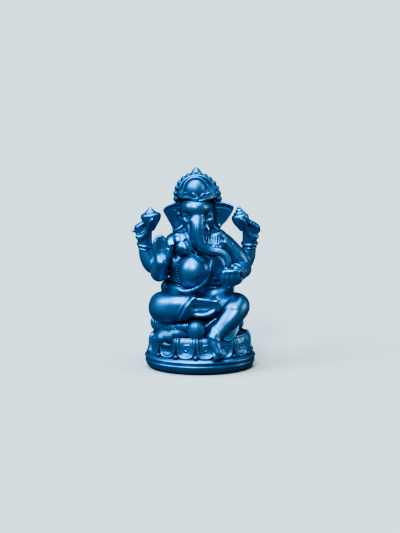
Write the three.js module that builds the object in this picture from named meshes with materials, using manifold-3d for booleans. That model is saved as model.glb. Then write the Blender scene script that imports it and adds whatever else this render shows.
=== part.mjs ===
// A seated, four-armed figure with an elephant's head, on an oval lotus base, cast in one piece
// of resin. Units are millimetres: +X is to the viewer's right, -Y to the viewer and +Z up.
// The origin is the centre of the flat underside. Left and right are the viewer's.
// A spot on the figure is written [across, forward, up], and forward counts towards the viewer.
// A station is a spot with a radius after it.
import * as THREE from "three";
import { mergeVertices } from "three/addons/utils/BufferGeometryUtils.js";
import Module from "manifold-3d";

const wasm = await Module();
wasm.setup();

// Driving dimensions of the base and the seat
const BASE = { halfWidth: 41.2, halfDepth: 31.5, rimTop: 12, lotusTop: 27 };
const PETAL = { count: 14, facets: 4, foot: 13, top: 26, thickness: 2.4, firstShare: 0.77 };
const SEAT = { across: -2.2, behind: 2, halfWidth: 34.2, halfDepth: 21.5, low: 26, high: 38 };

// Driving dimensions of the body
const HIPS = { spot: [-1.8, -2, 60.5], halfWidth: 28 };
const WAIST = { spot: [-1, 1, 75], halfWidth: 23 };
const BELLY = { spot: [-4.3, 9.5, 75], radius: 13.4 };
const CHEST = { spot: [-0.5, 0, 95], halfWidth: 21.5 };
const KNEE = { folded: [-27, 10, 47.2], hanging: [28.6, 12, 49.6] };
const REAR_ARM = { behind: 4, elbow: 34, wrist: 40.6, elbowUp: 76.6, wristUp: 90.6, bracelet: 6.3 };
const BOWL = { spot: [23.2, 20, 68], radius: 7.9, height: 9.4 };
const FINGER = 1.55;

// Driving dimensions of the head and what it wears
const HEAD = { across: -1.4, up: 117, halfWidth: 12.6 };
const CROWN = { across: -1.8, forward: 2, up: 128, halfWidth: 16, halfDepth: 14.5, height: 17.2 };
const STUD = { count: 13, radius: 2.3 };
const BEAD = 1.1;

// The held shells, as [radius, height] up the axis: a broad conch, and one closed like a bud.
const CONCH = [[1.7, 0], [3.4, 3], [7, 7.6], [7.6, 10.2], [4.5, 11.8], [4.2, 13.2], [2.3, 13.8], [0.5, 17.2]];
const BUD = [[1.7, -1], [4.6, 2.6], [6.4, 6.6], [6.2, 11], [4.9, 12.4], [4.2, 14.8], [2.4, 15.6], [0.6, 18.4]];

const SIDES = [-1, 1];
const radians = THREE.MathUtils.degToRad;
const between = THREE.MathUtils.lerp;
const series = (count, made) => Array.from({ length: count }, (_, i) => made(i));
const mirror = (stations, side) => stations.map(([x, ...rest]) => [side * x, ...rest]);

// A ring of flat facets is widened by this, to keep the area of the circle that it stands for.
const widening = (sides) => Math.sqrt((2 * Math.PI) / sides / Math.sin((2 * Math.PI) / sides));

// The closed solid that a geometry bounds.
function solid(geometry) {
  const bare = geometry.clone();
  bare.deleteAttribute("normal");
  bare.deleteAttribute("uv");
  const merged = mergeVertices(bare, 1e-4);
  return new wasm.Manifold(
    new wasm.Mesh({
      numProp: 3,
      vertProperties: Float32Array.from(merged.attributes.position.array),
      triVerts: Uint32Array.from(merged.index.array),
    }),
  );
}

// Moves every vertex of a geometry to where the function puts it.
function reshape(geometry, moved) {
  const points = geometry.attributes.position;
  const vertex = new THREE.Vector3();
  for (let i = 0; i < points.count; i++) {
    vertex.fromBufferAttribute(points, i);
    points.setXYZ(i, ...moved(vertex).toArray());
  }
  return geometry;
}

// A rounded lump with its own half-sizes across, forward and up, leaned sideways by degrees.
function lump([x, forward, z], [across, deep, tall], sides = 8, rings = 5, lean = 0) {
  const geometry = new THREE.SphereGeometry(1, sides, rings)
    .rotateX(Math.PI / 2)
    .scale(across * widening(sides), deep * widening(sides), tall * widening(2 * rings))
    .rotateY(radians(lean));
  return solid(geometry.translate(x, -forward, z));
}

// A tube with rounded ends along a smooth line through its stations.
function limb(stations, sides = 7, steps = stations.length) {
  const curve = new THREE.CatmullRomCurve3(stations.map(([x, f, z]) => new THREE.Vector3(x, -f, z)));
  const frames = curve.computeFrenetFrames(steps);
  const radiusAt = (t) => {
    const along = t * (stations.length - 1);
    const i = Math.min(Math.floor(along), stations.length - 2);
    return between(stations[i][3], stations[i + 1][3], along - i) * widening(sides);
  };
  // One row past each end closes the tube.
  const rows = steps + 2;
  return solid(
    reshape(new THREE.CylinderGeometry(1, 1, 1, sides, rows), ({ x, y, z }) => {
      const row = Math.round((0.5 - y) * rows) - 1;
      const step = THREE.MathUtils.clamp(row, 0, steps);
      const beyond = row - step;
      const radius = radiusAt(curve.getUtoTmapping(step / steps));
      const onAxis = Math.hypot(x, z) < 0.5;
      const turn = onAxis ? 0 : (1 - Math.abs(beyond) / 2) * (Math.PI / 2);
      return curve
        .getPointAt(step / steps)
        .addScaledVector(frames.tangents[step], beyond * radius * Math.cos(turn))
        .addScaledVector(frames.normals[step], x * radius * Math.sin(turn))
        .addScaledVector(frames.binormals[step], z * radius * Math.sin(turn));
    }),
  );
}

// A thin leaf with a rounded edge. Its outline is a list of [across, up] from the right, and its
// rim bends forward by the cup.
function leaf(outline, forward, thickness, cup) {
  const sides = 12;
  const rings = 4;
  const edge = new THREE.CatmullRomCurve3(outline.map(([x, z]) => new THREE.Vector3(x, 0, z)), true);
  const middle = edge
    .getPoints(sides - 1)
    .reduce((sum, point) => sum.addScaledVector(point, 1 / sides), new THREE.Vector3());
  return solid(
    reshape(new THREE.SphereGeometry(1, sides, rings), ({ x, y, z }) => {
      const reach = Math.hypot(x, z);
      const turn = (Math.atan2(z, x) / (2 * Math.PI) + 1) % 1;
      const rim = edge.getPoint(turn).sub(middle).multiplyScalar(reach).add(middle);
      return rim.setY(-forward - cup * reach ** 2 + (y * thickness) / 2);
    }),
  );
}

// A solid turned about an upright axis. The profile is a list of [radius, z] from the bottom up.
function turned(profile, [x, forward], sides, shape = (geometry) => geometry) {
  const points = profile.map(([radius, z]) => new THREE.Vector2(radius, z));
  const low = new THREE.Vector2(0, points[0].y);
  const high = new THREE.Vector2(0, points.at(-1).y);
  const geometry = new THREE.LatheGeometry([low, ...points, high], sides).rotateX(Math.PI / 2);
  return solid(shape(geometry).translate(x, -forward, 0));
}

// The oval base: a rounded plinth with a groove between two lips, and the lotus on it, whose wall
// swells out into a row of petals.
function base() {
  const { halfWidth: w, halfDepth, rimTop, lotusTop } = BASE;
  const { count, facets, top, foot, thickness, firstShare } = PETAL;
  const profile = [
    [w * 0.9, 0],
    [w * 0.965, 2],
    [w * 0.993, 5.4],
    [w * 0.965, 7.4],
    [w * 1.003, 9.4],
    [w * 0.98, rimTop],
    [w * 0.9, foot],
    [w * 0.885, between(foot, top, 0.34)],
    [w * 0.855, between(foot, top, 0.72)],
    [w * 0.75, lotusTop],
  ];
  const oval = new THREE.EllipseCurve(0, 0, w, halfDepth);
  return turned(profile, [0, 0], count * facets, (geometry) =>
    reshape(geometry, ({ x, y, z }) => {
      const share = (Math.atan2(y, x) / (2 * Math.PI) + 1) % 1;
      const spot = oval.getPointAt(share).multiplyScalar(Math.hypot(x, y) / w);
      const across = 0.5 + 0.5 * Math.cos((share - firstShare) * count * 2 * Math.PI);
      const upward = THREE.MathUtils.clamp((z - foot) / (top - foot), 0, 1);
      const swell = thickness * Math.sqrt(across) * Math.sin(Math.PI * upward ** 0.8);
      spot.setLength(spot.length() + swell);
      return new THREE.Vector3(spot.x, spot.y, z);
    }),
  );
}

// The cushion between the lotus and the figure.
function seat() {
  const { across, behind, halfWidth: w, halfDepth, low, high } = SEAT;
  const profile = [
    [w * 0.93, low],
    [w, low + 6.5],
    [w * 0.97, high - 3],
    [w * 0.85, high],
  ];
  return turned(profile, [across, -behind], 20, (geometry) => geometry.scale(1, halfDepth / w, 1));
}

// The folded leg on the left and the hanging leg on the right, with the cloth over them.
function legs() {
  const folded = limb(
    [
      [-11, -3, 51.5, 12],
      [-21, 4, 48.6, 12.6],
      [...KNEE.folded, 12.4],
      [-22, 15.5, 48.4, 10.4],
      [-12, 18, 49.4, 8.4],
      [-3, 20, 50.1, 6.3],
      [3, 22, 50.2, 4.6],
    ],
    9,
    8,
  );
  const foldedFoot = limb([[1, 22, 50.2, 4.2], [7, 22.6, 50, 4], [13.2, 22.4, 50.6, 3.4]], 6);
  const hanging = limb(
    [
      [11, -3, 52, 12],
      [20, 5, 49.4, 10.8],
      [...KNEE.hanging, 9.8],
      [28.4, 16.5, 45.4, 9],
      [23.6, 19.8, 39, 8.5],
      [18.6, 21.5, 34, 8],
      [14.5, 23, 30, 6.2],
    ],
    9,
    8,
  );
  const hem = limb([[24.6, 16, 37, 5.2], [21.4, 19.5, 29.5, 4.2]], 5, 1);
  const hangingFoot = limb(
    [
      [13, 22, 33, 5],
      [10.8, 25.6, 27.5, 4.4],
      [12.2, 28, 21, 4.2],
      [15.6, 29.2, 15.6, 3.6],
    ],
    6,
  );
  const toes = series(4, (i) =>
    limb(
      [
        [12.6 + 2.3 * i, 29.8 - 0.5 * i, 17 + 0.5 * i, 1.7],
        [13.4 + 2.5 * i, 30.6 - 0.7 * i, 13.6 + 0.3 * i, 1.5],
      ],
      4,
      1,
    ),
  );
  return [folded, foldedFoot, hanging, hem, hangingFoot, ...toes];
}

// Hips, waist, ball-like belly and chest.
function torso() {
  const { spot, radius } = BELLY;
  const breasts = SIDES.map((side) => lump([CHEST.spot[0] + 10.9 * side, 7, 92.5], [7, 6, 6], 7, 4));
  return [
    lump(HIPS.spot, [HIPS.halfWidth, 14, 12.5], 10, 6),
    lump(WAIST.spot, [WAIST.halfWidth, 12.5, 19], 12, 6),
    lump(spot, [radius, radius, radius], 12, 7),
    lump(CHEST.spot, [CHEST.halfWidth, 10.5, 9.5], 10, 5),
    ...breasts,
  ];
}

// Two arms on each side: one raised behind with a bracelet, one held in front.
function arms() {
  const { behind, elbow, wrist, elbowUp, wristUp, bracelet } = REAR_ARM;
  // The raised arm on the right is held closer in.
  const closer = { [-1]: 0, 1: 4 };
  const raised = (side) =>
    limb(
      mirror(
        [
          [15, -behind, 95, 7],
          [26, -behind - 1, 84, 6.8],
          [elbow - closer[side], -behind, elbowUp, 7.1],
          [elbow + 4.8 - closer[side], -behind, elbowUp + 5.4, 6.3],
          [wrist - closer[side], -behind, wristUp - 0.6, 4.9],
          [wrist - closer[side], -behind, wristUp + 6.4, 4.2],
        ],
        side,
      ),
      7,
    );
  const band = (side) =>
    turned(
      [[3, -1.6], [bracelet, -0.7], [bracelet, 0.7], [3, 1.6]],
      [side * (wrist - closer[side]), -behind],
      8,
    ).translate(0, 0, wristUp);
  const blessing = limb([
    [-19, 0, 94.4, 7],
    [-25.6, 1.5, 84, 6.8],
    [-29.6, 6, 72.6, 6.9],
    [-28.4, 13, 75.5, 5.2],
    [-27, 17.5, 82, 3.9],
  ]);
  const offering = limb([
    [18.4, 0, 93.2, 7],
    [27, 1, 85, 6.4],
    [31.8, 3, 75.5, 6.4],
    [31, 11, 74.5, 5.2],
    [28, 16, 74, 4.6],
  ]);
  return [...SIDES.map(raised), ...SIDES.map(band), blessing, offering];
}

// The open palm on the left, fingers up.
function blessingHand() {
  const tips = [100.8, 102.2, 101.8, 99.6];
  const fingers = tips.map((tip, i) =>
    limb([[-25.8 - 2.2 * i, 19.2, 92, FINGER * 1.1], [-26.2 - 2 * i, 18.6, tip, FINGER * 0.85]], 4, 1),
  );
  const palm = lump([-28.8, 18.8, 89], [5, 2.6, 7.6], 7);
  const thumb = limb([[-25.6, 19.6, 84.5, 2.2], [-23.6, 21, 89, 1.8], [-23.4, 21.2, 92.6, 1.3]], 4, 2);
  return [palm, ...fingers, thumb];
}

// The hand on the right that carries a bowl of sweets.
function offeringHand() {
  const [x, forward, z] = BOWL.spot;
  const profile = [
    [4, z],
    [BOWL.radius - 0.7, z + 3.5],
    [BOWL.radius, z + BOWL.height - 0.8],
    [BOWL.radius - 1.5, z + BOWL.height],
  ];
  const sweets = [[-3, 2.4], [2.6, 2.6], [0.2, -2.4]].map(([aside, ahead]) =>
    lump([x + aside, forward + ahead, z + BOWL.height + 0.4], [3.2, 3.2, 3.2], 6, 3),
  );
  const fingers = series(4, (i) => {
    const longer = i === 1 || i === 2 ? 1.2 : 0;
    return limb(
      [
        [17.2 + 3.5 * i, 21, 67.6, 2],
        [17.2 + 3.5 * i, 26 + longer, 69, 1.9],
        [17.6 + 3.3 * i, 26.8 + longer, 74, 1.6],
      ],
      4,
      2,
    );
  });
  const palm = lump([24, 18, 69.8], [8.6, 7.4, 4.6], 8, 4);
  const thumb = limb([[31, 15, 72.5, 2.4], [31.4, 20, 75, 2], [29.4, 23.6, 77, 1.5]], 4, 2);
  return [palm, turned(profile, [x, forward], 8), ...sweets, ...fingers, thumb];
}

// A raised hand at the back, round a shell that stands with its spire upwards.
function holdingHand(side, wrist, axis, lean, profile) {
  const palm = lump([wrist, -3.6, 99], [4.4, 3.2, 5.4], 6, 4, -side * 18);
  const fingers = series(4, (i) => {
    const rise = 1.9 * i;
    const knuckle = wrist + side * (7.1 - 1.6 * i);
    return limb(
      [
        [wrist + side * (3.2 - 1.2 * i), -4.4, 99.5 + rise, FINGER * 1.1],
        [knuckle, -1.4, 101.4 + rise, FINGER],
        [knuckle - side * 2.4, 0.8, 103 + rise, FINGER * 0.8],
      ],
      4,
      2,
    );
  });
  const thumb = limb(
    [
      [wrist - side * 2.5, -2, 97.5, 2],
      [axis + side * 1.4, 1.2, 103, 1.8],
      [axis + side * 1, 1.2, 107, 1.4],
    ],
    4,
    2,
  );
  const flattened = (geometry) => geometry.scale(1, 0.8, 1).rotateY(radians(lean));
  const shell = turned(profile, [axis, 3], 8, flattened).translate(0, 0, 103);
  return [palm, ...fingers, thumb, shell];
}

// Head, brow, cheeks, trunk, tusks and ears.
function head() {
  const { across, up, halfWidth } = HEAD;
  const trunk = limb(
    [
      [across + 0.1, 11, up + 4, 6.6],
      [-1, 17, 115, 6.3],
      [-0.8, 19.8, 108, 5.9],
      [-0.1, 20.6, 101.5, 5.6],
      [3.2, 21.2, 95.4, 4.9],
      [9.6, 22, 92.2, 4],
      [15.4, 23, 90.9, 3.3],
      [19, 24, 87.6, 2.7],
      [20.2, 24.6, 82.6, 2.3],
    ],
    7,
    10,
  );
  const leftEar = leaf(
    [[-8, 114], [-10, 121], [-15.5, 125.6], [-21.5, 124.6], [-27.2, 120.6], [-23.6, 112], [-20, 104.6], [-13, 104.2]],
    3,
    3,
    2.5,
  );
  const rightEar = leaf(
    [[20.6, 112], [25, 123.4], [18.5, 126], [11.5, 125.4], [6, 120], [6, 112], [9, 106.4], [14.4, 106.4]],
    3,
    3,
    2.5,
  );
  // The tusk on the left is broken off short.
  const length = { [-1]: 2, 1: 6 };
  const tusk = (side) =>
    limb(
      [
        [-1 + 5.4 * side, 14, 112, 1.9],
        [-1 + side * (6.6 + 0.3 * length[side]), 18 + 0.3 * length[side], 110 - 0.55 * length[side], 1.1],
      ],
      5,
      1,
    );
  return [
    lump([across, 3, up], [halfWidth, 13.4, 13], 10, 6),
    ...SIDES.map((side) => lump([across + 4.6 * side, 11.6, up + 5.4], [6, 6, 5.4], 7, 4)),
    ...SIDES.map((side) => lump([across + 6.7 * side, 10, up - 3.5], [5.4, 6, 6.6], 7, 4)),
    trunk,
    ...SIDES.map(tusk),
    leftEar,
    rightEar,
  ];
}

// The crown: a cap with a smooth boss in front, two raised arches, a rim of studs and a finial.
function crown() {
  const { across: x, forward, up: z, halfWidth: w, halfDepth: d, height: h } = CROWN;
  const arch = (reach, rise, ahead, thickness) =>
    limb(
      series(9, (i) => {
        const turn = radians(between(-13, 193, i / 8));
        return [x - 0.6 + reach * Math.cos(turn), ahead, z + 6 + rise * Math.sin(turn), thickness];
      }),
      4,
      7,
    );
  const studs = series(STUD.count, (i) => {
    const turn = radians(between(-4, 184, i / (STUD.count - 1)));
    const spot = [x + (w + 0.4) * Math.cos(turn), forward, z + (h - 0.2) * Math.sin(turn)];
    return lump(spot, [STUD.radius, STUD.radius, STUD.radius], 5, 3);
  });
  const band = limb(
    series(13, (i) => {
      const turn = radians(between(-100, 280, i / 12));
      const ahead = d * Math.sin(turn);
      return [x + (w - 2) * Math.cos(turn), forward + ahead, z + 0.4 + 0.05 * ahead, 1.9];
    }),
    4,
    11,
  );
  const finial = turned(
    [[5, z + h - 2.6], [4.2, z + h], [2.6, z + h + 1.4], [2, z + h + 3], [0.5, z + h + 5]],
    [x - 1, 1],
    7,
  );
  return [
    lump([x, forward, z], [w, d, h], 12, 6),
    lump([x - 0.7, 8.6, z + 6.6], [8.6, 8, 9.6], 9, 5),
    arch(9.2, 10, 11.6, 1.1),
    arch(13, 12.6, 8.2, 1.2),
    ...studs,
    band,
    finial,
  ];
}

// The cord over the shoulder and under the belly, the long necklace and the collar.
function jewellery() {
  const cord = limb(
    [
      [11, 11, 92, BEAD],
      [10.6, 14, 82, BEAD],
      [8, 17.6, 71.5, BEAD],
      [2.4, 20.4, 64.4, BEAD],
      [-5, 20.6, 61.6, BEAD],
      [-12.6, 17, 63.2, BEAD],
      [-17.4, 11, 67, BEAD],
    ],
    4,
    10,
  );
  const necklace = limb(
    [
      [-14.6, 8, 99, BEAD],
      [-9.6, 14, 92.6, BEAD],
      [-2.5, 19.4, 87.4, BEAD],
      [3.5, 19, 87.2, BEAD],
      [9.6, 14, 92.6, BEAD],
      [12.6, 8, 99, BEAD],
    ],
    4,
    7,
  );
  const collar = limb(
    series(9, (i) => {
      const turn = radians(between(-30, 210, i / 8));
      return [HEAD.across + 15 * Math.cos(turn), 1 + 12 * Math.sin(turn), 101.5 - 5.5 * Math.sin(turn), 2 * BEAD];
    }),
    4,
    7,
  );
  return [cord, necklace, collar];
}

// The mouse on the lotus, turned to the big sweet beside it.
function mouse() {
  const body = lump([-24.4, 17.8, 29], [8.6, 5.4, 5.2], 7, 4);
  const face = limb([[-18, 19.6, 31, 4], [-12.6, 21, 30.8, 2.6], [-9.6, 21.4, 30.4, 1.4]], 6, 2);
  const ears = [18.2, 21.6].map((forward) => lump([-18, forward, 34.4], [1.7, 1, 1.7], 5, 3));
  const sweet = lump([-1.9, 21, 33.4], [6.3, 6, 6.8], 9, 5);
  return [body, face, ...ears, sweet];
}

// The cast piece, as one mesh.
function statue() {
  const wrist = REAR_ARM.wrist;
  const cast = wasm.Manifold.union([
    base(),
    seat(),
    ...legs(),
    ...torso(),
    ...arms(),
    ...blessingHand(),
    ...offeringHand(),
    ...holdingHand(-1, -wrist, -34.8, -2, CONCH),
    ...holdingHand(1, wrist - 4.2, 31, -8, BUD),
    ...head(),
    ...crown(),
    ...jewellery(),
    ...mouse(),
  ]);
  // Where two surfaces all but touch, the join can leave a sliver, so the largest body is the piece.
  const [largest] = cast.decompose().sort((a, b) => b.volume() - a.volume());
  const mesh = largest.getMesh();
  const geometry = new THREE.BufferGeometry()
    .setAttribute("position", new THREE.BufferAttribute(mesh.vertProperties, 3))
    .setIndex(new THREE.BufferAttribute(mesh.triVerts, 1));
  geometry.computeVertexNormals();
  const lacquer = new THREE.MeshStandardMaterial({ color: 0x0f5f9e, roughness: 0.18, metalness: 0.5 });
  const made = new THREE.Mesh(geometry, lacquer);
  made.name = "ganesha_statue";
  return made;
}

const figure = new THREE.Group();
figure.add(statue());
export default figure;
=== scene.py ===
"""A seated figure with an elephant's head on a lotus base, in blue lacquered resin.

Shapes are modelled in millimetres as [across, forward, up] and meshed in metres, where forward is
-Y. A station is a spot with a radius after it. Left and right are the viewer's.
"""

import functools
import math

import bpy
import numpy as np
from bpy.props import FloatProperty, FloatVectorProperty, IntProperty, PointerProperty
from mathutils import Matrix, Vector


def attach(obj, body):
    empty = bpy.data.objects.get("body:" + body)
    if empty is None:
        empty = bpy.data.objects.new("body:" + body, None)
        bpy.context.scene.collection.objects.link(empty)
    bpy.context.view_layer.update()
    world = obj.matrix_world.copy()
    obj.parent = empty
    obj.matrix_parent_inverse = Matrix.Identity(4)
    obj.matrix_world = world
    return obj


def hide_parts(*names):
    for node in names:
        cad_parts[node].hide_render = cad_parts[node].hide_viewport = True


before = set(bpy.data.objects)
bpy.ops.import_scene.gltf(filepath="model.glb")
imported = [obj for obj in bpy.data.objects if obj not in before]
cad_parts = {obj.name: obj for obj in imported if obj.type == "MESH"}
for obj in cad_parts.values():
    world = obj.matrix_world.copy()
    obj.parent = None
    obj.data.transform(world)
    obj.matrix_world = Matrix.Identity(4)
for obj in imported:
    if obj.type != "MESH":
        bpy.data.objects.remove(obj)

bl_info = {
    "name": "Seated statue on a lotus base",
    "version": (1, 0, 0),
    "blender": (4, 5, 0),
    "location": "View3D > Sidebar > Statue",
    "description": "Builds a lacquered resin figure with an elephant's head, and the stage it stands on",
    "category": "Object",
}

NODE = "ganesha_statue"
# One millimetre in metres
MM = 0.001
# From [across, forward, up] in mm to metres
TO_METRES = (MM, -MM, MM)
# A distance in mm that is farther than any blend reaches
FAR = 40.0
# Left and right, as signs of across
SIDES = (-1, 1)


# Settings that a user would change


def colour_setting(name, description, default):
    """A setting for a colour."""
    return FloatVectorProperty(
        name=name, description=description, subtype="COLOR", size=3, min=0, max=1, default=default
    )


def length_setting(name, description, default, least=0.0001):
    """A setting for a length in metres."""
    return FloatProperty(name=name, description=description, unit="LENGTH", min=least, default=default)


def share_setting(name, description, default, least=0):
    """A setting for a share of one."""
    return FloatProperty(name=name, description=description, min=least, max=1, default=default)


def count_setting(name, description, default, least, most):
    """A setting for a number of like things."""
    return IntProperty(name=name, description=description, min=least, max=most, default=default)


class StatueFinishSettings(bpy.types.PropertyGroup):
    """Colours and gloss of the lacquer."""

    lacquer: colour_setting("Lacquer", "Blue of the lacquer", (0.09, 0.24, 0.45))
    # Painted shade: this darker blue is painted into the hollows and creases where shade falls, and is also
    # mixed in at random as a cloudy tone
    shade: colour_setting("Hollows", "Darker blue that gathers in the hollows", (0.002, 0.035, 0.08))
    worn: colour_setting("Worn edges", "Paler blue where the edges are rubbed", (0.1, 0.42, 0.7))
    gloss: share_setting("Roughness", "Roughness under the clear coat", 0.38, 0.05)
    metal: share_setting("Metal", "Share of metal flake in the lacquer", 0.88)
    coat: share_setting("Clear coat", "Strength of the clear coat", 0.15)


class StatueBaseSettings(bpy.types.PropertyGroup):
    """Sizes of the oval base, the lotus and the cushion."""

    half_width: length_setting("Half width", "Half the width of the base", 0.0412)
    half_depth: length_setting("Half depth", "Half the depth of the base", 0.0315)
    petals: count_setting("Petals", "Lotus petals round the base", 14, 6, 30)
    flutes: count_setting("Flutes", "Flutes round the cushion", 54, 12, 90)


class StatueFigureSettings(bpy.types.PropertyGroup):
    """Sizes of the figure."""

    belly: length_setting("Belly radius", "Radius of the ball of the belly", 0.0134)
    finger: length_setting("Finger radius", "Radius of a finger", 0.00155)
    grain: length_setting("Grain", "Step of the modelling grid on the body", 0.0005, 0.0003)
    fine_grain: length_setting(
        "Fine grain", "Step of the modelling grid on hands, head and crown", 0.0004, 0.0002
    )


class StatueTrimSettings(bpy.types.PropertyGroup):
    """Sizes of the crown's studs and of the jewellery."""

    studs: count_setting("Crown studs", "Round studs along the crown's outline", 14, 5, 30)
    stud: length_setting("Stud radius", "Radius of a crown stud", 0.0026)
    bead: length_setting("Bead radius", "Radius of a necklace bead", 0.0009)


class StatueStageSettings(bpy.types.PropertyGroup):
    """Camera and light."""

    distance: length_setting("Distance", "From the camera to the figure", 1.2)
    elevation: FloatProperty(
        name="Elevation",
        description="Height angle of the camera",
        subtype="ANGLE",
        default=math.radians(10.8),
    )
    floor: colour_setting("Floor", "Pale colour of the floor", (0.66, 0.52, 0.44))


# Modelling in clay: a distance held at every point of a grid


def smooth_path(stations, spacing):
    """Points at small steps along a smooth line through the stations. Further columns are carried along."""
    known = np.array(stations, float)
    if len(known) == 2:
        count = max(2, math.ceil(np.linalg.norm(known[1, :3] - known[0, :3]) / spacing) + 1)
        return known[0] + np.linspace(0, 1, count)[:, None] * (known[1] - known[0])
    padded = np.vstack([2 * known[0] - known[1], known, 2 * known[-1] - known[-2]])
    pieces = []
    for a, b, c, d in zip(padded, padded[1:], padded[2:], padded[3:]):
        lengths = [max(np.linalg.norm(q[:3] - p[:3]), 1e-6) for p, q in ((a, b), (b, c), (c, d))]
        knots = np.cumsum([0] + [length**0.5 for length in lengths])
        count = max(2, math.ceil(np.linalg.norm(c[:3] - b[:3]) / spacing))
        t = np.linspace(knots[1], knots[2], count, endpoint=False)[:, None]

        def mix(p, q, i, j):
            return p * (knots[j] - t) / (knots[j] - knots[i]) + q * (t - knots[i]) / (knots[j] - knots[i])

        first, second, third = mix(a, b, 0, 1), mix(b, c, 1, 2), mix(c, d, 2, 3)
        pieces.append(mix(mix(first, second, 0, 2), mix(second, third, 1, 3), 1, 2))
    return np.vstack(pieces + [known[-1:]])


def outline_distance(points, x, z):
    """Signed distance, negative inside, from places in a plane to a closed outline."""
    points = np.asarray(points, float)
    nearest = np.full(np.broadcast(x, z).shape, 1e9)
    inside = np.zeros(nearest.shape, bool)
    for (ax, az), (bx, bz) in zip(points, np.roll(points, -1, 0)):
        ex, ez = bx - ax, bz - az
        wx, wz = x - ax, z - az
        t = np.clip((wx * ex + wz * ez) / (ex * ex + ez * ez + 1e-12), 0, 1)
        nearest = np.minimum(nearest, (wx - ex * t) ** 2 + (wz - ez * t) ** 2)
        if az != bz:
            inside ^= ((az > z) != (bz > z)) & (x < (bx - ax) * (z - az) / (bz - az) + ax)
    return np.where(inside, -1, 1) * np.sqrt(nearest)


def line_distance(points, x, z):
    """Distance from places in a plane to an open line."""
    nearest = np.full(np.broadcast(x, z).shape, 1e9)
    for (ax, az), (bx, bz) in zip(points[:-1], points[1:]):
        ex, ez = bx - ax, bz - az
        t = np.clip(((x - ax) * ex + (z - az) * ez) / (ex * ex + ez * ez + 1e-12), 0, 1)
        nearest = np.minimum(nearest, (x - ax - ex * t) ** 2 + (z - az - ez * t) ** 2)
    return np.sqrt(nearest)


def softly(near, other, blend):
    """The lower of two distances, rounded where they meet."""
    if blend <= 0:
        return np.minimum(near, other)
    overlap = np.clip(blend - np.abs(near - other), 0, None) / blend
    return np.minimum(near, other) - overlap * overlap * blend / 4


def closed_curve(points, spacing=0.6):
    """A smooth closed outline through the points."""
    known = [list(p) for p in points]
    lap = smooth_path([[x, 0, z] for x, z in known[-2:] + known + known[:2]], spacing)[:, [0, 2]]
    start = np.array(known[0])
    first = int(np.argmin(np.linalg.norm(lap[: len(lap) // 2] - start, axis=1)))
    last = len(lap) - 1 - int(np.argmin(np.linalg.norm(lap[::-1][: len(lap) // 2] - start, axis=1)))
    return lap[first:last]


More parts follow.
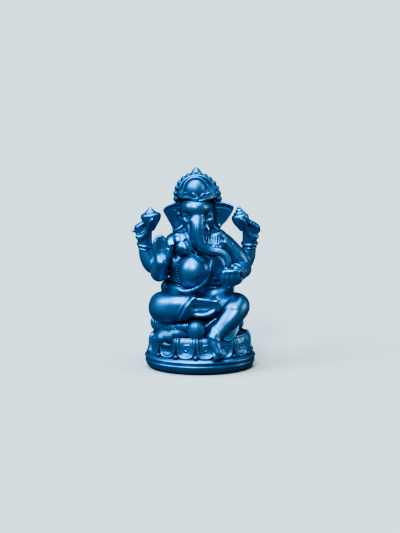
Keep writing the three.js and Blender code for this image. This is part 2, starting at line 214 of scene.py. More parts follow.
class Clay:
    """A block of space that holds how far each point of a grid is outside the shape, in mm."""

    # How far beyond its blend a shape is measured, in mm
    MARGIN = 1.2

    def __init__(self, low, high, grain):
        self.grain = grain
        self.low = np.array(low, float) - 3 * grain
        self.counts = np.ceil((np.array(high) - self.low) / grain).astype(int) + 4
        self.field = np.full(self.counts, FAR, np.float32)
        self.axes = [(self.low[k] + grain * np.arange(self.counts[k])).astype(np.float32) for k in range(3)]

    def window(self, low, high):
        """The slices of the grid that hold the space between two corners."""
        start = np.clip(np.floor((np.asarray(low) - self.low) / self.grain), 0, self.counts).astype(int)
        stop = np.clip(np.ceil((np.asarray(high) - self.low) / self.grain) + 1, 0, self.counts).astype(int)
        return tuple(slice(a, max(a, b)) for a, b in zip(start, stop))

    def spots(self, window):
        """Across, forward and up of the grid points in a window, ready to be combined."""
        x, y, z = (axis[part] for axis, part in zip(self.axes, window))
        return x[:, None, None], y[None, :, None], z[None, None, :]

    def add(self, shape, blend=0.0):
        """Joins a shape on, rounded over the blend where it meets what is there."""
        window, distance = shape(self, blend + self.MARGIN)
        self.field[window] = softly(self.field[window], distance, blend)

    def cut(self, shape, blend=0.0):
        """Takes a shape away, with a rounded edge."""
        window, distance = shape(self, blend + self.MARGIN)
        self.field[window] = -softly(-self.field[window], distance, blend)

    def raise_by(self, shape, height, width):
        """Raises the surface within a width of a shape that is measured as a distance from its middle."""
        window, distance = shape(self, 2.5 * width)
        self.field[window] -= height * np.exp(-np.square(distance / width))

    def sample(self, points):
        """The distance at any points, by straight interpolation."""
        place = (points - self.low) / self.grain
        cell = np.clip(np.floor(place).astype(int), 0, self.counts - 2)
        part = place - cell
        total = 0
        for i in (0, 1):
            for j in (0, 1):
                for k in (0, 1):
                    weight = np.abs(1 - np.array((i, j, k)) - part).prod(1)
                    total = total + weight * self.field[tuple((cell + (i, j, k)).T)]
        return total

    def slope(self, points):
        """How fast the distance grows across, forward and up at any points."""
        half = self.grain * 0.6
        steps = np.eye(3) * half
        return np.stack([(self.sample(points + s) - self.sample(points - s)) / (2 * half) for s in steps], 1)

    def settle(self, points, lift):
        """Moves points to a lift above the surface."""
        points = np.array(points, float)
        for _ in range(12):
            slope = self.slope(points)
            length = np.maximum((slope**2).sum(1), 0.05)
            points = points - np.clip(self.sample(points) - lift, -2, 2)[:, None] * slope / length[:, None]
        return points

    def hollow(self, points):
        """How hollow the surface is round each point: above nought in a hollow, below on an edge."""
        # Neighbours are looked at in steps of so many grains, and each counts for so many mm at most
        reach, clip = 3, 2.0
        cells = np.floor((points - self.low) / self.grain).astype(int)
        total = np.zeros(len(points), np.float32)
        steps = range(-2, 3)
        offsets = [(i, j, k) for i in steps for j in steps for k in steps if i * i + j * j + k * k <= 5]
        for offset in offsets:
            place = np.clip(cells + reach * np.array(offset), 0, self.counts - 1)
            total += np.clip(self.field[tuple(place.T)], -clip, clip)
        return -total / len(offsets) / clip

    def surface(self):
        """The surface as points and four-sided faces, and how hollow it is at each point."""
        # A shape that runs out of the block is closed at its wall
        for axis in range(3):
            for wall in (0, 1, -2, -1):
                layer = tuple(wall if k == axis else slice(None) for k in range(3))
                self.field[layer] = np.maximum(self.field[layer], 0.5 * self.grain)
        # A single stray grain is dropped, and a single bubble inside is filled
        for sign in (1, -1):
            inside = self.field * sign < 0
            beside = np.zeros(inside.shape, bool)
            for axis in range(3):
                for way in (1, -1):
                    beside |= np.roll(inside, way, axis)
            self.field[inside & ~beside] = sign * 0.5 * self.grain
        inside = self.field < 0
        # Cells of the grid that the surface crosses: some of their eight corners are inside
        inner = np.zeros(self.counts - 1, np.uint8)
        for i in (0, 1):
            for j in (0, 1):
                for k in (0, 1):
                    inner += inside[tuple(slice(n, n - 1 or None) for n in (i, j, k))]
        crossed = (inner > 0) & (inner < 8)
        number = np.full(crossed.shape, -1, np.int64)
        cells = np.argwhere(crossed)
        number[crossed] = np.arange(len(cells))
        # One point in each, in the middle of where the surface meets the cell's edges
        total = np.zeros((len(cells), 3))
        hits = np.zeros(len(cells))
        for axis in range(3):
            step = np.eye(3, dtype=int)[axis]
            others = [k for k in range(3) if k != axis]
            for a in (0, 1):
                for b in (0, 1):
                    corner = np.zeros(3, int)
                    corner[others[0]], corner[others[1]] = a, b
                    start = cells + corner
                    end = start + step
                    near = self.field[tuple(start.T)]
                    far = self.field[tuple(end.T)]
                    hit = (near < 0) != (far < 0)
                    share = near[hit] / (near[hit] - far[hit])
                    total[hit] += corner + share[:, None] * step
                    hits[hit] += 1
        points = self.low + self.grain * (cells + total / hits[:, None])
        # The points are then drawn onto the surface
        for _ in range(3):
            slope = self.slope(points)
            length = np.maximum((slope**2).sum(1), 0.2)
            move = self.sample(points)[:, None] * slope / length[:, None]
            points = points - np.clip(move, -0.4 * self.grain, 0.4 * self.grain)
        # Four cells share an edge of the grid, and each crossed edge gets a face between their points
        faces = []
        for axis in range(3):
            u, v = (axis + 1) % 3, (axis + 2) % 3
            low = [slice(None)] * 3
            high = [slice(None)] * 3
            low[axis], high[axis] = slice(0, -1), slice(1, None)
            before, after = inside[tuple(low)], inside[tuple(high)]
            place = np.argwhere(before != after)
            place = place[(place[:, u] > 0) & (place[:, v] > 0)]
            du, dv = np.eye(3, dtype=int)[u], np.eye(3, dtype=int)[v]
            ring = [number[tuple((place - shift).T)] for shift in (0 * du, du, du + dv, dv)]
            quads = np.stack(ring, 1)
            leaving = before[tuple(place.T)]
            # Forward is -Y, so the order of the corners is the reverse of a right-handed one
            quads[leaving] = quads[leaving][:, ::-1]
            faces.append(quads)
        return points, np.vstack(faces), self.hollow(points)


def fine_clay(low, high):
    """A block of clay with the fine grain, for hands, head, crown and mouse."""
    return Clay(low, high, bpy.context.scene.statue_figure.fine_grain / MM)


def lump(spot, sizes, lean=0.0):
    """A rounded lump with its own half-sizes across, forward and up, leaned sideways by degrees."""
    spot, sizes = np.array(spot, float), np.array(sizes, float)
    turn = math.radians(lean)

    def measure(clay, reach):
        half = sizes if not lean else np.array([sizes.max(), sizes[1], sizes.max()])
        window = clay.window(spot - half - reach, spot + half + reach)
        x, y, z = clay.spots(window)
        x, y, z = x - spot[0], y - spot[1], z - spot[2]
        if lean:
            x, z = x * math.cos(turn) - z * math.sin(turn), x * math.sin(turn) + z * math.cos(turn)
        near = np.sqrt((x / sizes[0]) ** 2 + (y / sizes[1]) ** 2 + (z / sizes[2]) ** 2)
        steep = np.sqrt((x / sizes[0] ** 2) ** 2 + (y / sizes[1] ** 2) ** 2 + (z / sizes[2] ** 2) ** 2)
        return window, near * (near - 1) / np.maximum(steep, 1e-6)

    return measure


def limb(stations, spacing=1.2, ripple=0.0, pitch=2.0):
    """A round limb along a smooth line through the stations. A ripple rings it with low ridges."""
    path = smooth_path(stations, spacing)
    if ripple:
        run = np.concatenate([[0], np.cumsum(np.linalg.norm(np.diff(path[:, :3], axis=0), axis=1))])
        path[:, 3] += ripple * np.cos(2 * math.pi * run / pitch)

    def measure(clay, reach):
        pad = path[:, 3].max() + reach
        window = clay.window(path[:, :3].min(0) - pad, path[:, :3].max(0) + pad)
        near = np.full([part.stop - part.start for part in window], FAR, np.float32)
        for start, end in zip(path[:-1], path[1:]):
            widest = max(start[3], end[3]) + reach
            inner = clay.window(np.minimum(start, end)[:3] - widest, np.maximum(start, end)[:3] + widest)
            x, y, z = clay.spots(inner)
            x, y, z = x - start[0], y - start[1], z - start[2]
            ax, ay, az = end[:3] - start[:3]
            t = np.clip((x * ax + y * ay + z * az) / (ax * ax + ay * ay + az * az + 1e-9), 0, 1)
            away = np.sqrt((x - ax * t) ** 2 + (y - ay * t) ** 2 + (z - az * t) ** 2)
            distance = away - (start[3] + (end[3] - start[3]) * t)
            place = tuple(slice(p.start - w.start, p.stop - w.start) for p, w in zip(inner, window))
            near[place] = np.minimum(near[place], distance)
        return window, near

    return measure


def ring(spot, axis, radius, thickness, broad):
    """A ring round an axis, for a bangle or a hem. Broad is its half-width over its thickness."""
    spot = np.array(spot, float)
    axis = np.array(axis, float) / np.linalg.norm(axis)

    def measure(clay, reach):
        half = radius + thickness + reach
        window = clay.window(spot - half, spot + half)
        x, y, z = clay.spots(window)
        x, y, z = x - spot[0], y - spot[1], z - spot[2]
        along = x * axis[0] + y * axis[1] + z * axis[2]
        away = np.sqrt(np.maximum(x * x + y * y + z * z - along * along, 0))
        return window, np.sqrt((away - radius) ** 2 + (along / broad) ** 2) - thickness

    return measure


def trace(points, ahead, behind):
    """The distance from a line drawn on the front of the figure, as [across, up], over a range of depths."""
    path = smooth_path([[x, 0, z] for x, z in points], 0.8)[:, [0, 2]]

    def measure(clay, reach):
        low, high = path.min(0) - reach, path.max(0) + reach
        window = clay.window([low[0], behind, low[1]], [high[0], ahead, high[1]])
        x, y, z = clay.spots(window)
        away = line_distance(path, x[:, 0, :], z[0])[:, None, :]
        fade = np.clip(behind + 1 - y, 0, None) * 2
        return window, away + fade

    return measure


def leaf(outline, middle, thickness, rim):
    """A thin leaf that faces the viewer. Middle gives its depth at [across, up]; the rim is thicker."""
    curve = closed_curve(outline)

    def measure(clay, reach):
        low, high = curve.min(0) - reach, curve.max(0) + reach
        x, _, z = clay.spots(clay.window([low[0], -FAR, low[1]], [high[0], FAR, high[1]]))
        x, z = x[:, 0, :], z[0]
        edge = outline_distance(curve, x, z)
        depth = middle(x, z)
        half = thickness / 2 + rim * np.exp(-np.square((edge + 1.0) / 0.8))
        pad = half.max() + reach
        window = clay.window([low[0], depth.min() - pad, low[1]], [high[0], depth.max() + pad, high[1]])
        y = clay.spots(window)[1]
        across = np.abs(y - depth[:, None, :]) - half[:, None, :] + 0.5
        inward = edge[:, None, :] + 0.5
        outer = np.sqrt(np.maximum(across, 0) ** 2 + np.maximum(inward, 0) ** 2)
        return window, outer + np.minimum(np.maximum(across, inward), 0) - 0.5

    return measure


def turned(profile, spot, squash=1.0, lean=0.0, waves=0, depth=0.0):
    """A solid turned about an upright axis from a [radius, height] profile, with upright waves round it.

    The distance to the profile is worked out once in a table, and read from there.
    """
    spot = np.array(spot, float)
    path = smooth_path([[r, 0, z] for r, z in profile], 0.5)[:, [0, 2]]
    outline = np.vstack([[0, path[0, 1]], path, [0, path[-1, 1]]])
    outline = np.vstack([outline, outline[1:-1][::-1] * (-1, 1)])
    turn = math.radians(lean)

    def measure(clay, reach):
        wide = path[:, 0].max()
        tall = np.abs(path[:, 1]).max()
        slant = abs(math.sin(turn))
        half = np.array([wide + tall * slant, wide, tall + wide * slant]) + reach + depth
        window = clay.window(spot - half, spot + half)
        x, y, z = clay.spots(window)
        x, y, z = x - spot[0], (y - spot[1]) / squash, z - spot[2]
        x, z = x * math.cos(turn) - z * math.sin(turn), x * math.sin(turn) + z * math.cos(turn)
        radius = np.sqrt(x * x + y * y)
        if waves:
            wave = depth * np.cos(waves * np.arctan2(y, x)) * np.clip(radius / wide, 0, 1)
            radius = radius - wave
        radius, z = np.broadcast_arrays(radius, z)
        step = 0.12
        bottom = z.min() - 0.2
        r_axis = np.arange(0, radius.max() + 2 * step, step)
        z_axis = np.arange(bottom, z.max() + 0.4, step)
        table = outline_distance(outline, r_axis[:, None], z_axis[None, :])
        i = np.clip(radius / step, 0, len(r_axis) - 1.001)
        j = np.clip((z - bottom) / step, 0, len(z_axis) - 1.001)
        i0, j0 = i.astype(int), j.astype(int)
        fi, fj = i - i0, j - j0
        low = table[i0, j0] * (1 - fj) + table[i0, j0 + 1] * fj
        high = table[i0 + 1, j0] * (1 - fj) + table[i0 + 1, j0 + 1] * fj
        return window, (low * (1 - fi) + high * fi) * min(squash, 1)

    return measure


# Meshes and finished pieces


def mesh_object(name, points, faces, hollow=None):
    """An object from points in mm as [across, forward, up]."""
    places = np.asarray(points, float) * TO_METRES
    mesh = bpy.data.meshes.new(name)
    mesh.from_pydata(places, [], faces, shade_flat=False)
    if hollow is not None:
        attribute = mesh.attributes.new("hollow", "FLOAT", "POINT")
        attribute.data.foreach_set("value", np.asarray(hollow, np.float32))
    mesh.update()
    piece = bpy.data.objects.new(name, mesh)
    bpy.context.scene.collection.objects.link(piece)
    return piece


def finished(piece, material=None):
    """Gives a piece its material and body, and hides the CAD node that it stands for."""
    if material is not None:
        piece.data.materials.clear()
        piece.data.materials.append(material)
    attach(piece, "root")
    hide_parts(NODE)
    return piece


def clay_object(name, clay, lower=0.0):
    """An object with the surface of a block of clay, lowered by so many mm."""
    points, faces, hollow = clay.surface()
    return mesh_object(name, points - (0, 0, lower), faces.tolist(), hollow)


def modelled(name, clay, material):
    """A finished piece with the surface of a block of clay."""
    return finished(clay_object(name, clay), material)


def ellipse_path(half_width, half_depth, count):
    """Points at even steps round an oval, anticlockwise from above, and their outward directions."""
    turn = np.linspace(0, 2 * math.pi, 4001)
    spots = np.stack([half_width * np.cos(turn), -half_depth * np.sin(turn)], 1)
    run = np.concatenate([[0], np.cumsum(np.linalg.norm(np.diff(spots, axis=0), axis=1))])
    turn = np.interp(np.arange(count) / count * run[-1], run, turn)
    outward = np.stack([np.cos(turn) / half_width, -np.sin(turn) / half_depth], 1)
    outward /= np.linalg.norm(outward, axis=1)[:, None]
    return np.stack([half_width * np.cos(turn), -half_depth * np.sin(turn)], 1), outward


def swept_oval(name, profile, half_width, half_depth, middle=(0, 0)):
    """A closed solid whose [outward, up] profile goes round an oval."""
    sides = 240
    path = smooth_path([[o, 0, z] for o, z in profile], 0.55)[:, [0, 2]]
    spots, outward = ellipse_path(half_width, half_depth, sides)
    rows = []
    for offset, height in path:
        row = spots + outward * offset + middle
        rows.append(np.column_stack([row, np.full(sides, height)]))
    points = np.vstack(rows)
    faces = []
    for r in range(len(rows) - 1):
        for s in range(sides):
            t = (s + 1) % sides
            faces.append((r * sides + s, r * sides + t, (r + 1) * sides + t, (r + 1) * sides + s))
    faces.append(tuple(range(sides))[::-1])
    faces.append(tuple((len(rows) - 1) * sides + s for s in range(sides)))
    return mesh_object(name, points, faces)


# Geometry node trees for what repeats


def socket_id(tree, name):
    """The identifier by which a modifier takes a tree's input."""
    items = tree.interface.items_tree
    return next(item.identifier for item in items if item.name == name and item.in_out == "INPUT")


class Wiring:
    """Places nodes in a tree and links them."""

    def __init__(self, tree):
        self.tree = tree
        self.count = 0

    def node(self, kind, settings=None, **links):
        """A new node. Each link names an input, or i and its number, and gives a socket or a value."""
        made = self.tree.nodes.new(kind)
        made.location = (220 * (self.count % 8), -260 * (self.count // 8))
        self.count += 1
        for key, value in (settings or {}).items():
            setattr(made, key, value)
        for key, value in links.items():
            numbered = key[0] == "i" and key[1:].isdigit()
            slot = made.inputs[int(key[1:]) if numbered else key.replace("_", " ")]
            if isinstance(value, bpy.types.NodeSocket):
                self.tree.links.new(value, slot)
            else:
                slot.default_value = value
        return made

    def arithmetic(self, operation, first, second):
        """The result of a sum with two numbers."""
        return self.node("ShaderNodeMath", {"operation": operation}, i0=first, i1=second).outputs[0]

    def vector(self, operation, first, **rest):
        """The result of a sum with vectors."""
        return self.node("ShaderNodeVectorMath", {"operation": operation}, i0=first, **rest).outputs[0]


def new_geometry_tree(name, **sockets):
    """A tree with named inputs, and the wiring to fill it."""
    tree = bpy.data.node_groups.new(name, "GeometryNodeTree")
    tree.interface.new_socket("Geometry", in_out="INPUT", socket_type="NodeSocketGeometry")
    for label, kind in sockets.items():
        tree.interface.new_socket(label, in_out="INPUT", socket_type=f"NodeSocket{kind}")
    tree.interface.new_socket("Geometry", in_out="OUTPUT", socket_type="NodeSocketGeometry")
    w = Wiring(tree)
    return w, w.node("NodeGroupInput").outputs


@functools.lru_cache(None)
def row_tree():
    """Copies an ornament in a row and bends the row round a level closed path."""
    w, given = new_geometry_tree(
        "Row round a path", Path="Object", Ornament="Object", Count="Int", Start="Float", Material="Material"
    )
    path = w.node("GeometryNodeObjectInfo", i0=given["Path"]).outputs["Geometry"]
    ornament = w.node("GeometryNodeObjectInfo", i0=given["Ornament"]).outputs["Geometry"]
    length = w.node("GeometryNodeCurveLength", i0=path).outputs[0]
    step = w.node("ShaderNodeCombineXYZ", i0=w.arithmetic("DIVIDE", length, given["Count"])).outputs[0]
    begin = w.node("ShaderNodeCombineXYZ", i0=w.arithmetic("MULTIPLY", length, given["Start"])).outputs[0]
    line = w.node("GeometryNodeMeshLine", Count=given["Count"], Start_Location=begin, Offset=step).outputs[0]
    copies = w.node("GeometryNodeInstanceOnPoints", Points=line, Instance=ornament).outputs[0]
    real = w.node("GeometryNodeRealizeInstances", i0=copies).outputs[0]
    # Each point's run along the row becomes a place on the path, and its depth goes outward from there
    parts = w.node("ShaderNodeSeparateXYZ", i0=w.node("GeometryNodeInputPosition").outputs[0]).outputs
    along = w.arithmetic("FLOORED_MODULO", parts[0], length)
    sample = w.node("GeometryNodeSampleCurve", {"mode": "LENGTH"}, Curves=path, Length=along).outputs
    outward = w.vector("NORMALIZE", w.vector("CROSS_PRODUCT", sample["Tangent"], i1=(0.0, 0.0, 1.0)))
    shift = w.vector("SCALE", outward, Scale=w.arithmetic("MULTIPLY", parts[1], -1.0))
    height = w.node("ShaderNodeCombineXYZ", i2=parts[2]).outputs[0]
    final = w.vector("ADD", w.vector("ADD", sample["Position"], i1=height), i1=shift)
    moved = w.node("GeometryNodeSetPosition", Geometry=real, Position=final).outputs[0]
    painted = w.node("GeometryNodeSetMaterial", Geometry=moved, Material=given["Material"]).outputs[0]
    w.node("NodeGroupOutput", i0=painted)
    return w.tree


@functools.lru_cache(None)
def string_tree():
    """Strings a bead along a path, with its Z outward from a middle point and its X along the path."""
    w, given = new_geometry_tree(
        "Beads on a path", Path="Object", Bead="Object", Count="Int", Middle="Vector", Material="Material"
    )
    path = w.node("GeometryNodeObjectInfo", i0=given["Path"]).outputs["Geometry"]
    bead = w.node("GeometryNodeObjectInfo", i0=given["Bead"]).outputs["Geometry"]
    spots = w.node("GeometryNodeCurveToPoints", {"mode": "COUNT"}, Curve=path, Count=given["Count"]).outputs
    place = w.node("GeometryNodeInputPosition").outputs[0]
    away = w.vector("SUBTRACT", place, i1=given["Middle"])
    turn = w.node(
        "FunctionNodeAxesToRotation",
        {"primary_axis": "X", "secondary_axis": "Z"},
        Primary_Axis=spots["Tangent"],
        Secondary_Axis=away,
    ).outputs[0]
    copies = w.node("GeometryNodeInstanceOnPoints", Points=spots["Points"], Instance=bead, Rotation=turn)
    real = w.node("GeometryNodeRealizeInstances", i0=copies.outputs[0]).outputs[0]
    painted = w.node("GeometryNodeSetMaterial", Geometry=real, Material=given["Material"]).outputs[0]
    w.node("NodeGroupOutput", i0=painted)
    return w.tree


def path_object(points, closed=False):
    """A straight-jointed curve through points in mm."""
    data = bpy.data.curves.new("path", "CURVE")
    data.dimensions = "3D"
    spline = data.splines.new("POLY")
    spline.points.add(len(points) - 1)
    places = np.asarray(points, float) * TO_METRES
    spline.points.foreach_set("co", np.column_stack([places, np.ones(len(places))]).ravel())
    spline.use_cyclic_u = closed
    made = bpy.data.objects.new("path", data)
    bpy.context.scene.collection.objects.link(made)
    return made


def grown(name, tree, **inputs):
    """The plain mesh that a tree makes from its inputs. Helper objects among them are then deleted."""
    host = bpy.data.objects.new(name, bpy.data.meshes.new(name))
    bpy.context.scene.collection.objects.link(host)
    modifier = host.modifiers.new("tree", "NODES")
    modifier.node_group = tree
    for label, value in inputs.items():
        modifier[socket_id(tree, label)] = value
    graph = bpy.context.evaluated_depsgraph_get()
    graph.update()
    mesh = bpy.data.meshes.new_from_object(host.evaluated_get(graph), depsgraph=graph)
    host.modifiers.remove(modifier)
    host.data = mesh
    mesh.name = name
    for value in inputs.values():
        if isinstance(value, bpy.types.Object):
            bpy.data.objects.remove(value)
    if len(mesh.polygons) == 0:
        raise RuntimeError(f"{name} came out empty")
    return host


def ball(name, radius, sides, rings, sizes=(1, 1, 1), middle=(0, 0, 0)):
    """A bead to be repeated by a tree, stretched by sizes across, forward and up."""
    points = [(0, 0, -radius * sizes[2])]
    for r in range(1, rings):
        lift = -math.pi / 2 + math.pi * r / rings
        wide, up = radius * math.cos(lift), radius * sizes[2] * math.sin(lift)
        for s in range(sides):
            turn = 2 * math.pi * s / sides
            points.append((sizes[0] * wide * math.cos(turn), sizes[1] * wide * math.sin(turn), up))
    points.append((0, 0, radius * sizes[2]))
    top = len(points) - 1
    last = top - sides
    faces = [(0, 1 + s, 1 + (s + 1) % sides) for s in range(sides)]
    for r in range(rings - 2):
        for s in range(sides):
            a, b = 1 + r * sides + s, 1 + r * sides + (s + 1) % sides
            faces.append((a, a + sides, b + sides, b))
    faces += [(last + s, top, last + (s + 1) % sides) for s in range(sides)]
    # Forward is -Y, so the order of the corners is turned round
    return mesh_object(name, np.array(points) + middle, [face[::-1] for face in faces])


def row_round(name, ornament, oval, middle, count, start, material):
    """A finished row of ornaments round a level oval."""
    spots, _ = ellipse_path(*oval, 900)
    path = path_object(np.column_stack([spots + middle, np.zeros(len(spots))]), closed=True)
    row = grown(name, row_tree(), Path=path, Ornament=ornament, Count=count, Start=start, Material=material)
    finished(row)


def string_of(name, bead, points, count, middle, material):
    """A finished string of beads along a path, with each bead turned outward from a middle point."""
    string = grown(
        name,
        string_tree(),
        Path=path_object(points),
        Bead=bead,
        Count=count,
        Middle=Vector(np.array(middle) * TO_METRES),
        Material=material,
    )
    finished(string)


# Materials


@functools.lru_cache(None)
def shade_and_wear_group():
    """Painted shade in the hollows, wear on the edges, cloudy tone between, and a faint orange peel."""
    tree = bpy.data.node_groups.new("Lacquer painted shade and wear", "ShaderNodeTree")
    for label, kind, default in (
        ("Colour", "Color", (0.03, 0.27, 0.52, 1)),
        ("Shade and cloud colour", "Color", (0.004, 0.06, 0.13, 1)),
        ("Worn colour", "Color", (0.14, 0.5, 0.72, 1)),
        ("Clouds per metre", "Float", 60.0),
        ("Gloss", "Float", 0.2),
    ):
        socket = tree.interface.new_socket(label, in_out="INPUT", socket_type=f"NodeSocket{kind}")
        socket.default_value = default
    for label, kind in (("Colour", "Color"), ("Roughness", "Float"), ("Height", "Float")):
        tree.interface.new_socket(label, in_out="OUTPUT", socket_type=f"NodeSocket{kind}")
    w = Wiring(tree)
    given = w.node("NodeGroupInput").outputs
    where = w.node("ShaderNodeTexCoord").outputs["Object"]
    hollow = w.node("ShaderNodeAttribute", {"attribute_name": "hollow"}).outputs["Fac"]
    curve = w.node("ShaderNodeNewGeometry").outputs["Pointiness"]

    def noise(scale, detail, roughness):
        made = w.node("ShaderNodeTexNoise", Vector=where, Scale=scale, Detail=detail, Roughness=roughness)
        return made.outputs[0]

    def band(value, low, high, bottom=0.0, top=1.0):
        return w.node("ShaderNodeMapRange", i0=value, i1=low, i2=high, i3=bottom, i4=top).outputs[0]

    def mixed(share, a, b):
        return w.node("ShaderNodeMix", {"data_type": "RGBA"}, i0=share, i6=a, i7=b).outputs[2]

    clouds = noise(given["Clouds per metre"], 4.0, 0.6)
    specks = noise(900.0, 3.0, 0.65)
    peel = noise(420.0, 2.0, 0.5)
    # Painted shade: a mask that is darker in the hollows and creases where shade would fall, and clouds vary
    # its strength
    shade_mask = w.arithmetic("MAXIMUM", band(hollow, 0.05, 0.42), band(curve, 0.485, 0.42))
    shade_mask = w.arithmetic("MULTIPLY", shade_mask, band(clouds, 0.2, 0.7, 0.75, 1.0))
    edge = w.arithmetic("MAXIMUM", band(hollow, -0.1, -0.4), band(curve, 0.53, 0.6))
    edge = w.arithmetic("MULTIPLY", edge, band(specks, 0.4, 0.6, 0.35, 1.0))
    # A cloudy tone at random, then the painted shade in the hollows, then wear on the edges
    shaded = mixed(band(clouds, 0.35, 0.75, 0.0, 0.3), given["Colour"], given["Shade and cloud colour"])
    shaded = mixed(w.arithmetic("MULTIPLY", shade_mask, 0.9), shaded, given["Shade and cloud colour"])
    shaded = mixed(w.arithmetic("MULTIPLY", edge, 0.5), shaded, given["Worn colour"])
    rough = w.arithmetic("ADD", given["Gloss"], w.arithmetic("MULTIPLY", shade_mask, 0.18))
    rough = w.arithmetic("ADD", rough, band(specks, 0.3, 0.7, -0.03, 0.05))
    height = w.arithmetic("ADD", w.arithmetic("MULTIPLY", peel, 0.7), w.arithmetic("MULTIPLY", specks, 0.3))
    w.node("NodeGroupOutput", i0=shaded, i1=rough, i2=height)
    return tree


@functools.lru_cache(None)
def lacquer(name, brightness=1.0, rougher=0.0, coat=1.0):
    """Metallic blue lacquer under a clear coat. Brightness and coat scale the settings, rougher adds."""
    finish = bpy.context.scene.statue_finish
    material = bpy.data.materials.new(name)
    material.use_nodes = True
    material.node_tree.nodes.clear()
    w = Wiring(material.node_tree)
    shade_and_wear = w.node("ShaderNodeGroup", {"node_tree": shade_and_wear_group()}, Gloss=finish.gloss + rougher)
    # The hollows take the painted shade colour. Brightness lightens or darkens all three colours, and some
    # pieces use it to paint shade or light
    colours = {"Colour": finish.lacquer, "Shade and cloud colour": finish.shade, "Worn colour": finish.worn}
    for label, colour in colours.items():
        shade_and_wear.inputs[label].default_value = (*(min(1.0, part * brightness) for part in colour), 1)
    bump = w.node("ShaderNodeBump", Strength=0.06, Distance=0.0004, Height=shade_and_wear.outputs["Height"])
    shader = w.node(
        "ShaderNodeBsdfPrincipled",
        Base_Color=shade_and_wear.outputs["Colour"],
        Roughness=shade_and_wear.outputs["Roughness"],
        Normal=bump.outputs[0],
        Metallic=finish.metal,
        Coat_Weight=finish.coat * coat,
        Coat_Roughness=0.14,
    )
    w.node("ShaderNodeOutputMaterial", i0=shader.outputs[0])
    return material


# The lotus base


def build_plinth():
    base = bpy.context.scene.statue_base
    half = np.array([base.half_width, base.half_depth]) / MM
    underside = [
        (-6.0, 0), (-4.6, 0.15), (-3.0, 0.9), (-1.8, 2.2), (-1.0, 3.8), (-0.5, 5.0), (-0.25, 6.0),
        (-0.4, 6.8), (-1.0, 7.3),
    ]
    lip = [
        (-1.4, 7.6), (-1.4, 8.0), (-0.6, 8.4), (0.05, 9.0), (0.15, 9.8), (-0.5, 10.6), (-1.6, 11.4),
        (-3.0, 12.2), (-4.4, 12.8),
    ]
    core = [(-5.4, 13.2), (-5.8, 14.2), (-5.8, 18), (-6.1, 22.4), (-7.6, 25.2), (-10.2, 26.4), (-12.6, 26.7)]
    finished(swept_oval("lotus_plinth", underside + lip + core, *half), lacquer("plinth_lacquer"))


def petal_clay():
    """One petal, flat before it is bent round the base: across, outward and up."""
    outline = closed_curve(
        [
            (-7.4, 33), (-7.4, 26), (-7.3, 22), (-6.9, 18.4), (-5.2, 14.4), (0, 12.4), (5.2, 14.4),
            (6.9, 18.4), (7.3, 22), (7.4, 26), (7.4, 33), (0, 34),
        ],
        0.5,
    )
    curl = smooth_path([
        [1.8, 0, 23.0], [-0.9, 0, 22.6], [-1.8, 0, 20.0], [0.1, 0, 18.4], [1.5, 0, 20.2], [0.3, 0, 21.2],
    ], 0.4)
    clay = Clay((-7.9, -3, 11.8), (7.9, 3.4, 27.6), 0.36)

    def measure(block, reach):
        window = block.window((-9, -4, 10), (9, 5, 29))
        x, y, z = block.spots(window)
        x, z = x[:, 0, :], z[0]
        edge = outline_distance(outline, x, z)
        face = np.interp(
            z, [11.8, 12.8, 14.2, 16.5, 20, 23, 25, 26.4, 27.4],
            [0.6, 1.5, 2.0, 1.3, 0.9, 0.85, 0.5, 0.0, -0.8],
        )
        # To the depth of the face at each height come a rim, a dished middle, a low ridge and the curl
        face = face + 0.9 * np.exp(-np.square((edge + 1.3) / 1.0)) - 1.0 * np.clip((-edge - 1.9) / 1.4, 0, 1)
        swirl = line_distance(curl[:, [0, 2]], x, z)
        face = face + 0.4 * np.exp(-np.square((edge + 3.7) / 0.7)) + 0.35 * np.exp(-np.square(swirl / 0.7))
        front = (y - face[:, None, :]) * 0.8
        solid = -softly(-front, -edge[:, None, :], 1.1)
        return window, -softly(-solid, y + 2.6, 0.4)

    clay.add(measure)
    return clay


def build_petals():
    base = bpy.context.scene.statue_base
    # The wall that the petals hang on stands this far in from the rim of the base
    inset = 4.4
    wall = np.array([base.half_width, base.half_depth]) / MM - inset
    finish = lacquer("petal_lacquer")
    # Where the first petal and the first bead are, as a share of the way round from the right
    first = 0.77
    between = first + 0.5 / base.petals
    petal = clay_object("petal", petal_clay(), 1.2)
    row_round("lotus_petals", petal, wall, (0, 0), base.petals, first, finish)
    bead = ball("bead", 1.5, 12, 8, (1.45, 1.1, 1.1), (0, 2.0, 13.0))
    row_round("petal_beads", bead, wall, (0, 0), base.petals, between, finish)


def build_cushion():
    base = bpy.context.scene.statue_base
    # Half-sizes of the cushion's oval, and its middle as [across, forward]
    half = (34.2, 21.8)
    middle = (-2.2, -2)
    profile = [
        (-3.4, 25.5), (-2.6, 27), (-1.5, 28.2), (-1.9, 29.2), (-0.4, 30.4), (0.2, 33), (-0.3, 35.6),
        (-1.6, 37.4), (-5.5, 38.6), (-9, 38.8),
    ]
    finish = lacquer("cushion_lacquer")
    finished(swept_oval("cushion", profile, *half, middle), finish)
    clay = Clay((-2, -2, 28.6), (2, 2, 38.2), 0.4)
    clay.add(limb([
        [0, -1.3, 29.8, 1.0], [0, -0.7, 31.2, 1.15], [0, -0.4, 33.2, 1.2], [0, -0.8, 35.6, 1.1],
        [0, -2, 37.4, 0.8],
    ], 0.6))
    row_round("cushion_flutes", clay_object("rib", clay), half, middle, base.flutes, 0.0, finish)


# The seated figure


